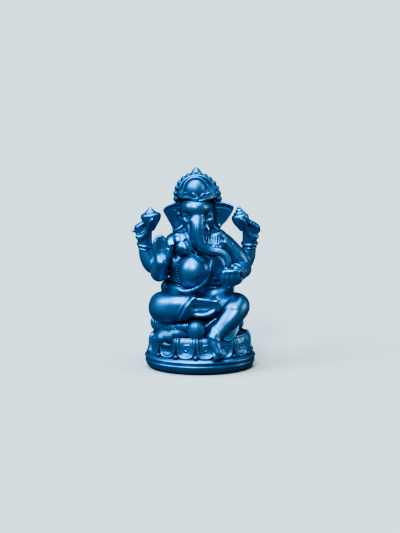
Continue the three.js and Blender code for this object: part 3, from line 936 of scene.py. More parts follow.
@functools.lru_cache(None)
def legs_clay():
    """Hips, the folded leg, the hanging leg and the cloth over them."""
    clay = Clay((-41, -21, 11), (40, 35, 74), bpy.context.scene.statue_figure.grain / MM)
    clay.add(lump((-1.8, -4, 60), (27.6, 11, 11.5)))
    folded = [
        (-11, -3, 51, 12),
        (-21, 4, 48.2, 12.0),
        (-26.6, 9.2, 46.8, 11.6),
        (-22, 15.0, 46.6, 10.0),
        (-13, 17.6, 47.6, 8.6),
        (-6, 19.2, 48.8, 7.2),
    ]
    clay.add(limb(folded), 4)
    # Broad upper face of the thigh, with a rounded edge towards the front
    clay.add(limb([
        (-29.4, 9.4, 51.4, 6.6), (-26, 14.4, 51.8, 6.6), (-20, 18.4, 52.0, 6.4), (-12, 20.4, 52.6, 5.2),
        (-6, 21.2, 52.8, 4.2),
    ]), 2.5)
    hanging = [
        (11, -3, 51, 11.5),
        (20, 5, 48.6, 10.0),
        (27.6, 12, 48.8, 9.2),
        (25.4, 16, 45.4, 9.0),
        (20.6, 19.2, 40.8, 8.2),
        (16.6, 21.2, 36, 6.6),
        (12.9, 22.8, 31.6, 5.7),
        (10.4, 24.2, 27.4, 5.2),
    ]

    def shin(block, reach):
        """The hanging leg with a flat, bevelled left front, as if cut by a plane along the shin."""
        window, round_leg = limb(hanging)(block, reach)
        x, y, z = block.spots(window)
        bevel = (x - 17.0) * -0.36 + (y - 21.2) * 0.80 + (z - 36) * 0.48 - 6.0
        low = np.clip((61 - z) / 13, 0, 1) * np.clip((z - 26) / 3, 0, 1) * np.clip((x - 6) / 4, 0, 1)
        bevel = bevel - 7 * (1 - low)
        return window, -softly(-round_leg, -bevel, 4.2)

    clay.add(shin, 4)
    # Cloth between the thighs and behind the shin
    clay.add(limb([(-8, 6, 44, 8), (6, 8, 43, 8), (14, 10, 42, 7)]), 4)
    clay.add(limb([(24.6, 11, 42, 5.4), (20.6, 15, 37, 4.4), (16.4, 18.4, 32, 3.8)]), 3)
    # Foot of the folded leg: the instep above, the hollow sole, the rolled outer edge and the toes
    clay.add(limb([
        (-8, 20, 50.0, 6.0), (-1, 21, 50.2, 5.4), (6, 21.6, 50.2, 4.7), (11, 21.8, 51.0, 3.6),
    ]), 2.5)
    clay.add(limb([
        (-6.4, 24.0, 45.4, 1.6), (-1, 25.6, 44.6, 1.6), (5, 25.8, 45.0, 1.6), (9.4, 25.0, 47.0, 1.5),
        (11.8, 24, 49.4, 1.2),
    ], 0.8), 0.9)
    clay.add(limb([
        (-6, 24.4, 56.0, 1.3), (0, 24.8, 55.6, 1.4), (6, 24.8, 54.8, 1.4), (11.4, 24.2, 53.8, 1.2),
    ], 0.8), 1.2)
    clay.cut(limb([(-3.4, 28.6, 50.4, 3.4), (2.6, 29.0, 50.4, 4.0), (8.0, 28.4, 50.4, 3.2)], 0.8), 1.2)
    toes = [(12.4, 54.2, 1.6), (13.6, 52.7, 1.4), (14.0, 51.1, 1.3), (13.6, 49.6, 1.2), (12.6, 48.2, 1.1)]
    for across, up, size in toes:
        toe = [
            (across - 2.6, 23.2, up - 0.2, size), (across, 24.2, up, size),
            (across + 1.2, 23.8, up, size * 0.85),
        ]
        clay.add(limb(toe, 0.6), 0.5)
    # Foot of the hanging leg, down over the petals to the rim, below the hem of the cloth
    clay.add(limb([
        (9.9, 24.6, 27.4, 5.0), (10.4, 26.2, 24.0, 4.6), (11.7, 27.6, 20.2, 4.0), (13.2, 28.5, 17.2, 3.9),
    ]), 1.5)
    clay.add(ring((10.0, 24.9, 26.4), (-0.5, 0.34, -0.80), 5.0, 0.7, 1.2), 0.9)
    for i, size in enumerate((1.7, 1.45, 1.35, 1.25, 1.1)):
        toe = [
            (10.2 + 1.75 * i, 29.2 - 0.3 * i, 17.6 + 0.3 * i, size),
            (10.8 + 1.85 * i, 30.9 - 0.45 * i, 15.2 + 0.3 * i, size * 0.95),
            (11.2 + 1.9 * i, 31.3 - 0.5 * i, 13.6 + 0.3 * i, size * 0.85),
        ]
        clay.add(limb(toe, 0.6), 0.5)
    # Cuff of the cloth on the folded shin: two rolled hems that run down to the left
    for line, height, width in (
        ([(-4.4, 57.6), (-7.2, 54.7), (-10.1, 50.3), (-12.3, 45.8), (-14.6, 41.6)], 1.25, 1.5),
        ([(-6.8, 57.6), (-9.6, 54.3), (-12.5, 49.7), (-14.8, 45.2), (-17.0, 41.0)], -0.55, 0.6),
        ([(-8.4, 57.6), (-11.2, 53.9), (-14.1, 49.3), (-16.4, 44.8)], 0.4, 0.8),
    ):
        clay.raise_by(trace(line, 34, 10), height, width)
    # Low folds over the thighs, and creases inside the bent knee
    for line, height, width in (
        ([(-36, 43.6), (-30, 41.4), (-23, 40.4), (-17, 41.2)], -0.2, 1.0),
        ([(-13, 58.6), (-5, 58.0), (4, 56.4), (12, 54.8)], 0.35, 0.9),
        ([(13.6, 46.6), (17.0, 48.2), (20.4, 47.4)], 0.25, 1.4),
        ([(12.6, 35), (13.2, 31.4), (11.8, 28.6)], -0.2, 0.8),
        ([(12.0, 57.0), (14.6, 58.8), (18.6, 59.0)], 0.5, 0.7),
    ):
        clay.raise_by(trace(line, 34, 8), height, width)
    # Hem that hangs in nested loops to the right of the shin
    clay.add(lump((22.0, 14.8, 31.4), (6.6, 4.8, 6.4)), 2.5)
    for i in range(4):
        drop, out = 1.7 * i, 0.5 * i
        loop = [
            (15.4, 21.4 + out, 33.6 - drop, 0.6),
            (18.2, 21.8 + out, 31.0 - 1.05 * drop, 0.85),
            (21.6, 21.2 + out, 30.4 - 1.05 * drop, 0.9),
            (25.2, 18.8 + out, 32.2 - 0.9 * drop, 0.85),
            (28.4, 15.2 + out, 36.0 - 0.8 * drop, 0.7),
        ]
        clay.add(limb(loop, 0.8), 0.6)
    # A rolled end of cloth from the shin down beside the big sweet
    clay.add(limb([
        (3.6, 21.8, 34.4, 0.9), (6.4, 21.6, 36.8, 1.1), (9.4, 21, 39.4, 1.1), (13.4, 19.8, 41.6, 1.1),
    ], 0.7), 0.4)
    return clay


@functools.lru_cache(None)
def body_clay():
    """Belly, chest and the four arms."""
    figure = bpy.context.scene.statue_figure
    clay = Clay((-47, -17, 58), (44, 26, 108), figure.grain / MM)
    clay.add(lump((-1.8, -4, 60), (27, 10.5, 11)))
    clay.add(lump((-1, 1, 75), (23, 12.5, 19)), 2)
    clay.add(lump((-0.5, 0, 95), (21.5, 10.5, 9.5)), 3)
    for side in SIDES:
        clay.add(lump((-0.5 + 12.5 * side, 2, 99), (8, 7, 6)), 2)
    # Breasts: the one on the left shows, the other is half behind the trunk
    clay.add(lump((-12.2, 7.4, 91.8), (6.6, 6.6, 6.0)), 3.0)
    clay.add(lump((10.6, 6.6, 91.6), (6.6, 6.2, 5.8)), 2.2)
    belly = figure.belly / MM
    clay.add(lump((-4.1, 9.6, 74.6), (belly, belly, belly)), 1.2)
    clay.cut(lump((14.6, 16.6, 78), (6.6, 7.4, 12)), 2.0)
    # Neck under the head
    clay.add(limb([(-1, 1, 98, 9), (-1.2, 2.6, 106, 9.5)]), 3)
    # Raised arms behind, the one on the right held closer in
    for side, closer in ((-1, 0), (1, 4)):
        arm = [
            (15, -4, 95, 7),
            (26, -5, 84, 6.9),
            (34 - closer, -4, 76.6, 7.1),
            (38.6 - closer, -4, 82, 6.2),
            (40.6 - closer, -4, 90, 5.0),
            (40.8 - closer, -4, 97, 4.9),
        ]
        clay.add(limb([(side * x, f, z, r) for x, f, z, r in arm]), 2)
    blessing = [
        (-19, 0, 94.4, 7), (-25.6, 1.5, 84, 6.8), (-29.8, 6, 72.8, 7.0), (-28.8, 12, 75.5, 5.6),
        (-28.0, 16.4, 81, 4.3),
    ]
    clay.add(limb(blessing), 2)
    offering = [
        (18.4, 0, 93.2, 7), (27, 1, 85, 6.4), (31.8, 3, 75.5, 6.4), (31, 11, 74.5, 5.2), (28, 16, 74, 4.6),
    ]
    clay.add(limb(offering), 2)
    # Creases: under the chest, between the breasts, the navel, the armpits and the elbows
    clay.raise_by(trace([(-19, 88.4), (-14.6, 85.8), (-9.4, 86.6), (-4.4, 88.8)], 26, 4), -1.3, 0.9)
    clay.raise_by(trace([(1.4, 89), (7, 86.4), (12.6, 86.6), (17, 89)], 26, 4), -1.1, 0.8)
    clay.raise_by(trace([(-17.6, 95), (-18.6, 90), (-18.4, 84)], 26, 2), -1.2, 1.0)
    clay.cut(lump((-1.2, 23.2, 71.0), (1.3, 1.5, 1.6)), 1.2)
    clay.raise_by(trace([(-3.4, 73.6), (-3.6, 71.4), (-2.4, 69.2)], 26, 16), 0.35, 0.8)
    clay.raise_by(trace([(-21, 86), (-21.6, 80), (-22.6, 75)], 16, -4), -0.8, 0.8)
    clay.raise_by(trace([(22, 88), (22.4, 80), (22, 74)], 16, -4), -0.6, 0.8)
    sleeve = (
        [(21, 94), (23.6, 89), (27, 83)], [(24.6, 94.4), (27.4, 90), (30.4, 85)],
        [(18.6, 97), (20.6, 92.6), (21.8, 88)],
    )
    for line in sleeve:
        clay.raise_by(trace(line, 16, -2), 0.5, 0.7)
    # Folds of the waistcloth on both sides of the belly
    for line, height in (
        ([(-27.4, 68.4), (-23.6, 66.4), (-19.4, 66.8), (-16, 65)], 0.9),
        ([(-27.0, 66.6), (-23.0, 64.6), (-18.6, 65.0), (-14.6, 63.2)], -0.8),
        ([(-26.8, 64.8), (-22.4, 62.8), (-17.8, 63.4), (-12.6, 61.4)], 0.9),
        ([(-25.8, 62.6), (-21.4, 61.0), (-16.4, 61.4), (-11, 59.8)], -0.8),
        ([(-24.4, 60.6), (-19.4, 59.4), (-14, 59.6)], 0.8),
        ([(6.4, 61.2), (12.4, 60.6), (18, 61.8), (23, 60.6)], 0.8),
        ([(8.4, 63.2), (13.4, 62.6), (19, 64.0), (24, 62.8)], -0.8),
        ([(9.6, 65.2), (14.6, 64.4), (20, 65.8), (24.4, 64.6)], 0.8),
        ([(10.4, 67.2), (15.4, 66.4), (20.6, 67.6)], -0.7),
        ([(11, 69.2), (16, 68.6), (21, 69.6)], 0.6),
    ):
        clay.raise_by(trace(line, 24, -6), height, 0.75)
    # Bangle at the offering wrist and armlets on the raised arms
    clay.add(ring((27.2, 14.4, 75.8), (-0.5, 0.8, -0.35), 5.2, 0.85, 1.3), 0.4)
    for spot, axis in (((-22.0, -4.6, 88), (-11, -1, -11)), ((21.4, -4.6, 88.2), (9, -1, -11))):
        clay.add(ring(spot, axis, 6.9, 0.8, 1.5), 0.5)
    # Heavy bangles on the raised wrists, with a thin one under each
    for side, closer, up, tilt in ((-1, 0, 91.6, 0.14), (1, 4, 92.8, 0.0)):
        at = side * (40.7 - closer)
        clay.add(ring((at, -4, up), (tilt, 0.1, 1), 5.2, 1.35, 1.0), 0.4)
        clay.add(ring((at, -4, up - 2.7), (tilt, 0.1, 1), 5.0, 0.6, 1.0), 0.4)
    # Spine and shoulder blades at the back, which the photograph doesn't show
    clay.raise_by(trace([(-1, 100), (-1, 90), (-1, 78), (-1.4, 70)], 0, -FAR), -0.9, 1.6)
    for side in SIDES:
        clay.add(lump((-0.8 + 9.5 * side, -8.4, 93), (6.5, 3.4, 7)), 3)
    # Sash round the sides and the back of the hips, with a stud in front and its end on the right hip
    for lift, size in ((65.4, 1.1), (62.8, 1.2)):
        turn = np.linspace(math.radians(190), math.radians(352), 30)
        sash = [
            (-1.4 + 25.2 * math.cos(t), -3.6 + 11.0 * math.sin(t), lift + 0.9 * math.cos(3 * t), size)
            for t in turn
        ]
        clay.add(limb(sash, 1.0), 0.5)
    clay.add(limb([(22.6, 0.2, 64.0, 1.5), (23.6, 0.5, 61.4, 1.7), (24.2, 1.2, 58.4, 1.4)], 0.8), 0.8)
    clay.add(lump((5.1, 6.8, 58.8), (1.5, 1.5, 1.4)), 0.5)
    return clay


def collar_clay():
    """Plates of the collar on the left, larger over the shoulder, and a fringe of bars right of the trunk.

    Each is a shallow tile that follows the body under it.
    """
    clay = Clay((-25, 1, 88), (22, 22, 104), 0.28)
    grid = np.stack(np.meshgrid(*clay.axes, indexing="ij"), -1)
    body = body_clay().sample(grid.reshape(-1, 3)).reshape(clay.field.shape)
    x, z = grid[:, 0, :, 0], grid[:, 0, :, 2]
    tiles = [
        (-21.5, 95.6, 2.0, 2.0, 20),
        (-16.4, 98.3, 1.5, 1.5, 22),
        (-12.2, 100.0, 1.9, 2.1, 24),
        (-7.9, 100.6, 1.4, 1.4, 24),
        (-8.3, 96.2, 1.6, 1.9, 26),
        (-4.7, 97.6, 1.3, 1.4, 26),
        (-10.4, 93.0, 1.3, 1.6, 26),
        (-6.8, 92.6, 1.3, 1.5, 26),
        (-3.8, 93.8, 1.1, 1.2, 26),
    ]
    for i in range(6):
        tiles.append((4.4 + 1.9 * i, 98.6 - 0.2 * i, 0.5, 3.2, -4))
        tiles.append((4.7 + 1.9 * i, 93.6 - 0.1 * i, 0.6, 0.8, -4))
    tiles += [(15.8, 96.4, 1.1, 1.3, -20), (18.8, 96.8, 1.0, 2.2, -32)]
    flat, lift = np.full(x.shape, FAR), np.zeros(x.shape)
    rounding, sunk = 0.35, 0.9
    for at, up, half_wide, half_tall, lean in tiles:
        cos, sin = math.cos(math.radians(lean)), math.sin(math.radians(lean))
        along = np.abs((x - at) * cos + (z - up) * sin) - half_wide + rounding
        across = np.abs((z - up) * cos - (x - at) * sin) - half_tall + rounding
        tile = np.hypot(np.maximum(along, 0), np.maximum(across, 0))
        tile = tile + np.minimum(np.maximum(along, across), 0) - rounding
        # Each tile stands out more towards its lower edge
        lift = np.where(tile < flat, 0.6 + 0.26 * (up - z), lift)
        flat = np.minimum(flat, tile)
    skin = -softly(-(body - lift[:, None, :]), -np.broadcast_to(flat[:, None, :], body.shape), rounding)
    clay.field = np.maximum(skin, -(body + sunk)).astype(np.float32)
    return clay


def hands_clay():
    """The open palm on the left and the hand under the bowl on the right."""
    finger = bpy.context.scene.statue_figure.finger / MM
    left = fine_clay((-38, 10, 75), (-19, 27, 106))
    left.add(limb([(-28.2, 15.4, 79.4, 4.6), (-28.0, 17.4, 84, 4.8)]))
    left.add(lump((-28.5, 18.0, 92.2), (6.3, 3.3, 10.9), -5), 1.5)
    fingers = ((-25.6, -26.4, 100.4), (-27.6, -28.4, 102.9), (-29.6, -30.4, 102.3), (-31.4, -32.2, 99.2))
    for across, tip, end in fingers:
        left.add(limb([(across, 18.4, 92, finger * 1.1), (tip, 18.4, end - finger, finger)], 0.7), 1.1)
    left.add(limb([(-28.2, 18.9, 82.4, 4.7), (-28.4, 17.6, 86.4, 4.0)]), 1.8)
    left.add(limb([(-24.0, 20.2, 85.6, 2.0), (-23.1, 20.8, 89.4, 1.7), (-23.0, 20.8, 92.4, 1.3)], 0.7), 0.8)
    left.cut(lump((-28.6, 26.2, 95.2), (5.1, 6.6, 10.8), -5), 2.0)
    for at in (-26.6, -28.6, -30.6):
        left.raise_by(trace([(at + 0.3, 92.6), (at - 0.2, 97), (at - 0.8, 101.4)], 26, 14), -0.25, 0.4)

    right = fine_clay((11, 9, 62), (37, 31.6, 84))
    right.add(limb([(29.6, 13.4, 74.1, 4.5), (27, 16.4, 73, 4.4)]))
    right.add(lump((22.8, 19.0, 71.6), (8.9, 8.4, 6.4)), 2)
    for at, longer, low in ((17.0, 0, 69.0), (20.5, 0.9, 67.6), (23.9, 1.0, 67.4), (27.0, 0.2, 68.8)):
        curled = [
            (at + 0.6, 19.6, low + 0.2, 2.0),
            (at, 24.4 + longer, low + 0.6, 2.1),
            (at - 0.2, 27.0 + longer, 72.2, 2.0),
            (at + 0.2, 27.4 + longer, 76.6, 1.6),
        ]
        right.add(limb(curled, 0.7), 1.3)
    right.add(limb([
        (31.2, 14.6, 71.4, 2.4), (31.6, 19.6, 72.6, 2.1), (30.8, 23.8, 75.4, 1.8), (28.8, 25.6, 77.6, 1.5),
    ], 0.7), 0.8)
    right.add(limb([
        (15.8, 20, 76.6, 1.3), (16.8, 25, 77.2, 1.4), (20, 28.2, 77.6, 1.4), (24, 28.8, 77.8, 1.4),
        (28, 27.0, 77.8, 1.3), (30.8, 23.4, 77.2, 1.2),
    ], 0.8), 1.2)
    right.add(limb([(27.4, 27.6, 76.8, 1.0), (28.6, 27.2, 73.0, 1.1), (29.6, 25.6, 70.0, 1.0)], 0.6), 0.5)
    right.add(limb([(30.6, 25.4, 77.0, 0.9), (31.0, 25.0, 73.6, 1.0), (29.9, 25.2, 70.2, 0.9)], 0.6), 0.5)
    return left, right


def holding_clay(side, wrist, axis, lean, lift, profile):
    """A raised hand at the back, closed round a shell. Places are given for the hand on the left."""
    finger = bpy.context.scene.statue_figure.finger / MM
    left, right = sorted((side * (abs(wrist) - 15), side * (abs(wrist) + 13)))
    clay = fine_clay((left, -10, 91), (right, 12, 124))

    def run(*spots):
        placed = [(wrist - side * (x + 40.6), forward, up + lift, size) for x, forward, up, size in spots]
        return limb(placed, 0.7)

    # Broad wrist and palm, closed up to the stem of the shell
    clay.add(run(
        (-41.2, -4, 91, 5.1), (-41.4, -4, 96.4, 5.1), (-41.2, -3.6, 101, 4.4), (-40.6, -3.4, 105.4, 3.4),
    ))
    clay.add(run((-39.6, -3, 93, 4.0), (-38.9, -1.8, 99, 3.4), (-37.9, 0, 104, 2.6)), 1.2)
    # Ridge of the knuckles over the top, with the last fingertip beyond it
    clay.add(run(
        (-47.6, -2.2, 102.4, 1.5), (-46.6, -1.4, 105.0, 1.9), (-44.3, -1.0, 106.6, 2.1),
        (-42.2, -0.8, 107.8, 2.1), (-39.8, -0.4, 109.0, 1.8),
    ), 0.5)
    for across, up in ((-46.3, 105.6), (-44.3, 107.1), (-42.2, 108.3), (-40.0, 109.6)):
        clay.add(run((across - 0.2, -1.8, up, finger), (across + 0.4, 0.4, up - 0.3, finger)), 1.0)
    if side < 0:
        clay.add(run((-47.4, -1.4, 103.4, 1.2), (-49.6, -1.0, 102.2, 0.9)), 0.5)
    # Heel of the hand and the thumb in one curve, up along the shell
    heel = [
        (-46.0, 0.2, 98.6, 1.9), (-44.4, 0.8, 98.0, 2.6), (-42.2, 1.4, 99.2, 2.3), (-39.8, 2.8, 102.4, 1.8),
    ]
    thumb = [
        (-38.4, 4.6, 105.6, 1.5), (-37.6, 6.6, 108.6, 1.3), (-36.4, 8.2, 111, 1.1), (-34.8, 8.8, 112.4, 1.2),
    ]
    clay.add(run(*heel, *thumb), 0.5)
    clay.cut(run((-46.6, 2.6, 102.8, 2.2), (-43.6, 3.0, 103.4, 2.9), (-41.2, 3.0, 105.4, 2.2)), 0.9)
    clay.add(run((-45.6, -3.2, 101.4, 2.6), (-43.0, -3.4, 103.6, 3.4), (-40.6, -3.2, 105.6, 3.0)), 0.6)
    clay.add(turned(profile, (axis, 3, 103), squash=0.8, lean=lean), 0.4)
    return clay


CONCH = [
    (1.2, 0.2), (2.6, 2.2), (4.3, 4.6), (6.2, 7.4), (7.3, 9.6), (7.6, 11.4), (7.3, 12.7), (6.2, 13.5),
    (4.9, 13.9), (4.3, 14.1), (4.0, 14.9), (3.2, 15.4), (2.7, 15.6), (2.4, 16.4), (1.7, 16.9), (1.3, 17.3),
    (0.9, 18.0), (0.4, 18.5),
]
BUD = [
    (1.4, 0.2), (2.7, 2.4), (4.4, 4.8), (5.8, 7.2), (6.4, 9.4), (6.3, 11.4), (5.6, 12.4), (4.6, 12.8),
    (4.6, 13.8), (4.0, 14.5), (3.0, 14.8), (2.9, 15.8), (2.3, 16.5), (1.7, 16.8), (1.7, 17.8), (1.1, 18.6),
    (0.4, 19.0),
]


def build_hands():
    skin = lacquer("figure_lacquer")
    left, right = hands_clay()
    modelled("blessing_hand", left, skin)
    modelled("offering_hand", right, skin)
    modelled("left_raised_hand", holding_clay(-1, -40.6, -35.0, -6, 0, CONCH), skin)
    modelled("right_raised_hand", holding_clay(1, 36.4, 31, -8, 0.4, BUD), skin)


def bowl_clay():
    """The bowl of sweets in the offering hand."""
    clay = fine_clay((14, 10.5, 66), (32.5, 29, 82.5))
    profile = [(4, 68), (6.2, 69.6), (7.4, 72), (7.9, 75.6), (8.0, 77), (7.3, 77.6), (6.6, 77)]
    clay.add(turned(profile, (23.2, 20, 0)))
    for aside, ahead, size in ((-3.1, 3.0, 3.1), (2.9, 3.0, 3.1), (0.2, -2.2, 3.3)):
        clay.add(lump((23.2 + aside, 20 + ahead, 78.0), (size, size, size)), 0.3)
    return clay


def build_bowl():
    modelled("sweet_bowl", bowl_clay(), lacquer("bowl_lacquer", rougher=0.1, coat=0.3))


# The elephant's head


def ear_depth(x, z):
    """Depth of an ear's middle surface: tied in at the head, and cupped forwards at the rim and the top."""
    away = np.clip(np.abs(x + 1.4) - 10, 0, None)
    return 1.5 + 0.018 * away**2 + 0.012 * np.clip(z - 112, 0, None) ** 2


@functools.lru_cache(None)
def head_clay():
    """Skull, brows, eyes, cheeks, trunk, tusk and ears."""
    clay = fine_clay((-29, -12, 80), (27, 29, 131))
    # Middle of the skull, across and up
    x, z = -1.4, 117
    clay.add(lump((x, 3, z), (12.4, 13.0, 13)))
    left = [
        (-8, 114), (-10, 121), (-15.5, 124.6), (-21.5, 123.8), (-27.0, 120.2), (-24.4, 113.4),
        (-20.6, 106.0), (-20.0, 102.2), (-13, 102.2),
    ]
    right = [
        (20.2, 112), (24.8, 122.2), (18.5, 125.0), (11.5, 124.8), (6, 120), (6, 112), (9, 103.4),
        (14.4, 102.6), (15.6, 106.4),
    ]
    for outline in (left, right):
        clay.add(leaf(outline, ear_depth, 2.4, 0.55), 0.8)
    # Forehead: one broad roll under the brim, fuller on the left, that runs down into the trunk
    clay.add(limb([
        (-8.4, 9.2, 121.8, 5.8), (-6.0, 13.2, 122.0, 6.1), (-2.8, 14.4, 121.8, 6.1), (1.0, 13.0, 121.8, 5.8),
        (3.8, 9.4, 121.6, 5.4),
    ]), 2.0)
    for side in SIDES:
        clay.add(lump((x + 6.6 * side, 9.2, z - 4.6), (5.4, 5.8, 6.2)), 2)
    trunk = [
        (-1.6, 10.4, 119.4, 5.9),
        (-1.7, 16.0, 114.0, 5.5),
        (-1.7, 19.2, 108.4, 5.2),
        (-1.2, 20.3, 101.8, 4.9),
        (1.7, 21.0, 95.9, 4.4),
        (5.8, 21.6, 92.8, 3.6),
        (10.2, 22.4, 91.4, 3.0),
        (14.6, 23, 90.8, 2.8),
        (18.2, 23.8, 88.9, 2.6),
        (20.2, 24.5, 85.6, 2.5),
        (20.6, 24.9, 82.6, 2.6),
    ]
    clay.add(limb(trunk, 0.5, ripple=0.006, pitch=2.6), 2.2)
    # Long folds from the cheeks down both flanks of the trunk, the fuller one on the left
    for side, most in ((-1, 3.3), (1, 2.2)):
        fold = [
            (-1.6 + 5.4 * side, 12.8, 112.4, most),
            (-1.7 + 5.0 * side, 15.4, 107.0, most),
            (-1.4 + 4.0 * side, 17.6, 101.6, most * 0.85),
            (-0.4 + 2.6 * side, 18.8, 97.0, most * 0.7),
        ]
        clay.add(limb(fold, 0.8), 1.5)
    # Boxy trunk: edges along both sides of its front, and a crest along the top of its lower bend
    for line, height, width in (
        ([(2.2, 112), (2.2, 109), (2.3, 106), (2.7, 101), (4.6, 97.6)], 0.55, 0.55),
        ([(-3.4, 112), (-3.4, 109), (-3.2, 105), (-2.0, 98.6), (0.6, 94.2)], 0.35, 0.6),
        ([
            (4.0, 98.4), (6.6, 95.6), (10.2, 94.2), (14.6, 93.4), (18.4, 91.6), (21.2, 88.4), (22.4, 84.4),
        ], 0.5, 0.8),
    ):
        clay.raise_by(trace(line, 30, 13), height, width)
    # Large round eyes in deep sockets, with a thick crescent of lid below each
    for side, height in ((-1, 0.75), (1, 0.4)):
        at = x + 8.0 * side
        clay.cut(lump((at, 16.4, 116.6), (2.9, 3.4, 3.1)), 1.8)
        clay.add(lump((at, 11.9, 116.6), (2.2, 2.2, 2.3)), 1.2)
        lid = [
            (at + 3.0 * side, 117.2), (at + 2.8 * side, 114.6), (at + 0.8 * side, 112.6),
            (at - 1.8 * side, 112.8), (at - 2.8 * side, 114.6),
        ]
        clay.raise_by(trace(lid, 30, 4), height, 1.15)
    # Folds and an earring inside the ears
    for line, height, width in (
        ([(-13.2, 121.6), (-13.6, 117.6), (-13.2, 113.8)], -0.7, 0.7),
        ([(-18.1, 118.6), (-17.6, 115.8), (-15.6, 113.6), (-12.6, 112.8)], 0.9, 0.55),
        ([(-24.2, 120.2), (-20.4, 121.4), (-15, 121.8)], -0.7, 1.1),
        ([(10.4, 121.6), (10.8, 117.6), (10.4, 113.8)], -0.6, 0.7),
        ([(22.0, 120.6), (18.0, 121.6), (12, 121.8)], -0.6, 1.0),
        ([(13.6, 117.6), (12.4, 113.4), (12.6, 109.4), (14.6, 106.6)], 0.5, 0.7),
    ):
        clay.raise_by(trace(line, 14, 1.8), height, width)
    clay.add(lump((-15.4, 4.2, 116.2), (1.2, 1.6, 1.3)), 0.4)
    clay.add(limb([(-13.6, 5.6, 112.6, 0.9), (-12.8, 6.6, 111.2, 0.9)], 0.6), 0.4)
    # Crescents of the ear lobes, over the shoulders
    clay.add(limb([
        (-11.6, 8.4, 110.8, 1.0), (-12.4, 9.0, 108.4, 1.35), (-14.4, 8.8, 106.2, 1.55),
        (-17.0, 7.6, 104.8, 1.4), (-19.6, 5.6, 103.8, 0.9),
    ], 0.6), 0.5)
    clay.add(limb([
        (9.0, 8, 110.2, 0.9), (10.0, 8.6, 107.6, 1.1), (12.0, 8.0, 105.6, 1.1), (14.4, 6.4, 104.4, 0.8),
    ], 0.6), 0.5)
    # Tusk on the right
    clay.add(limb([(4.4, 14.0, 109.6, 1.6), (5.4, 16.4, 108.0, 1.3), (6.4, 18.4, 106.6, 0.9)], 0.8), 0.6)
    # Nostril end of the trunk, over the bowl
    clay.cut(lump((20.7, 25.6, 79.6), (1.3, 1.3, 1.1)), 0.4)
    return clay


# The crown


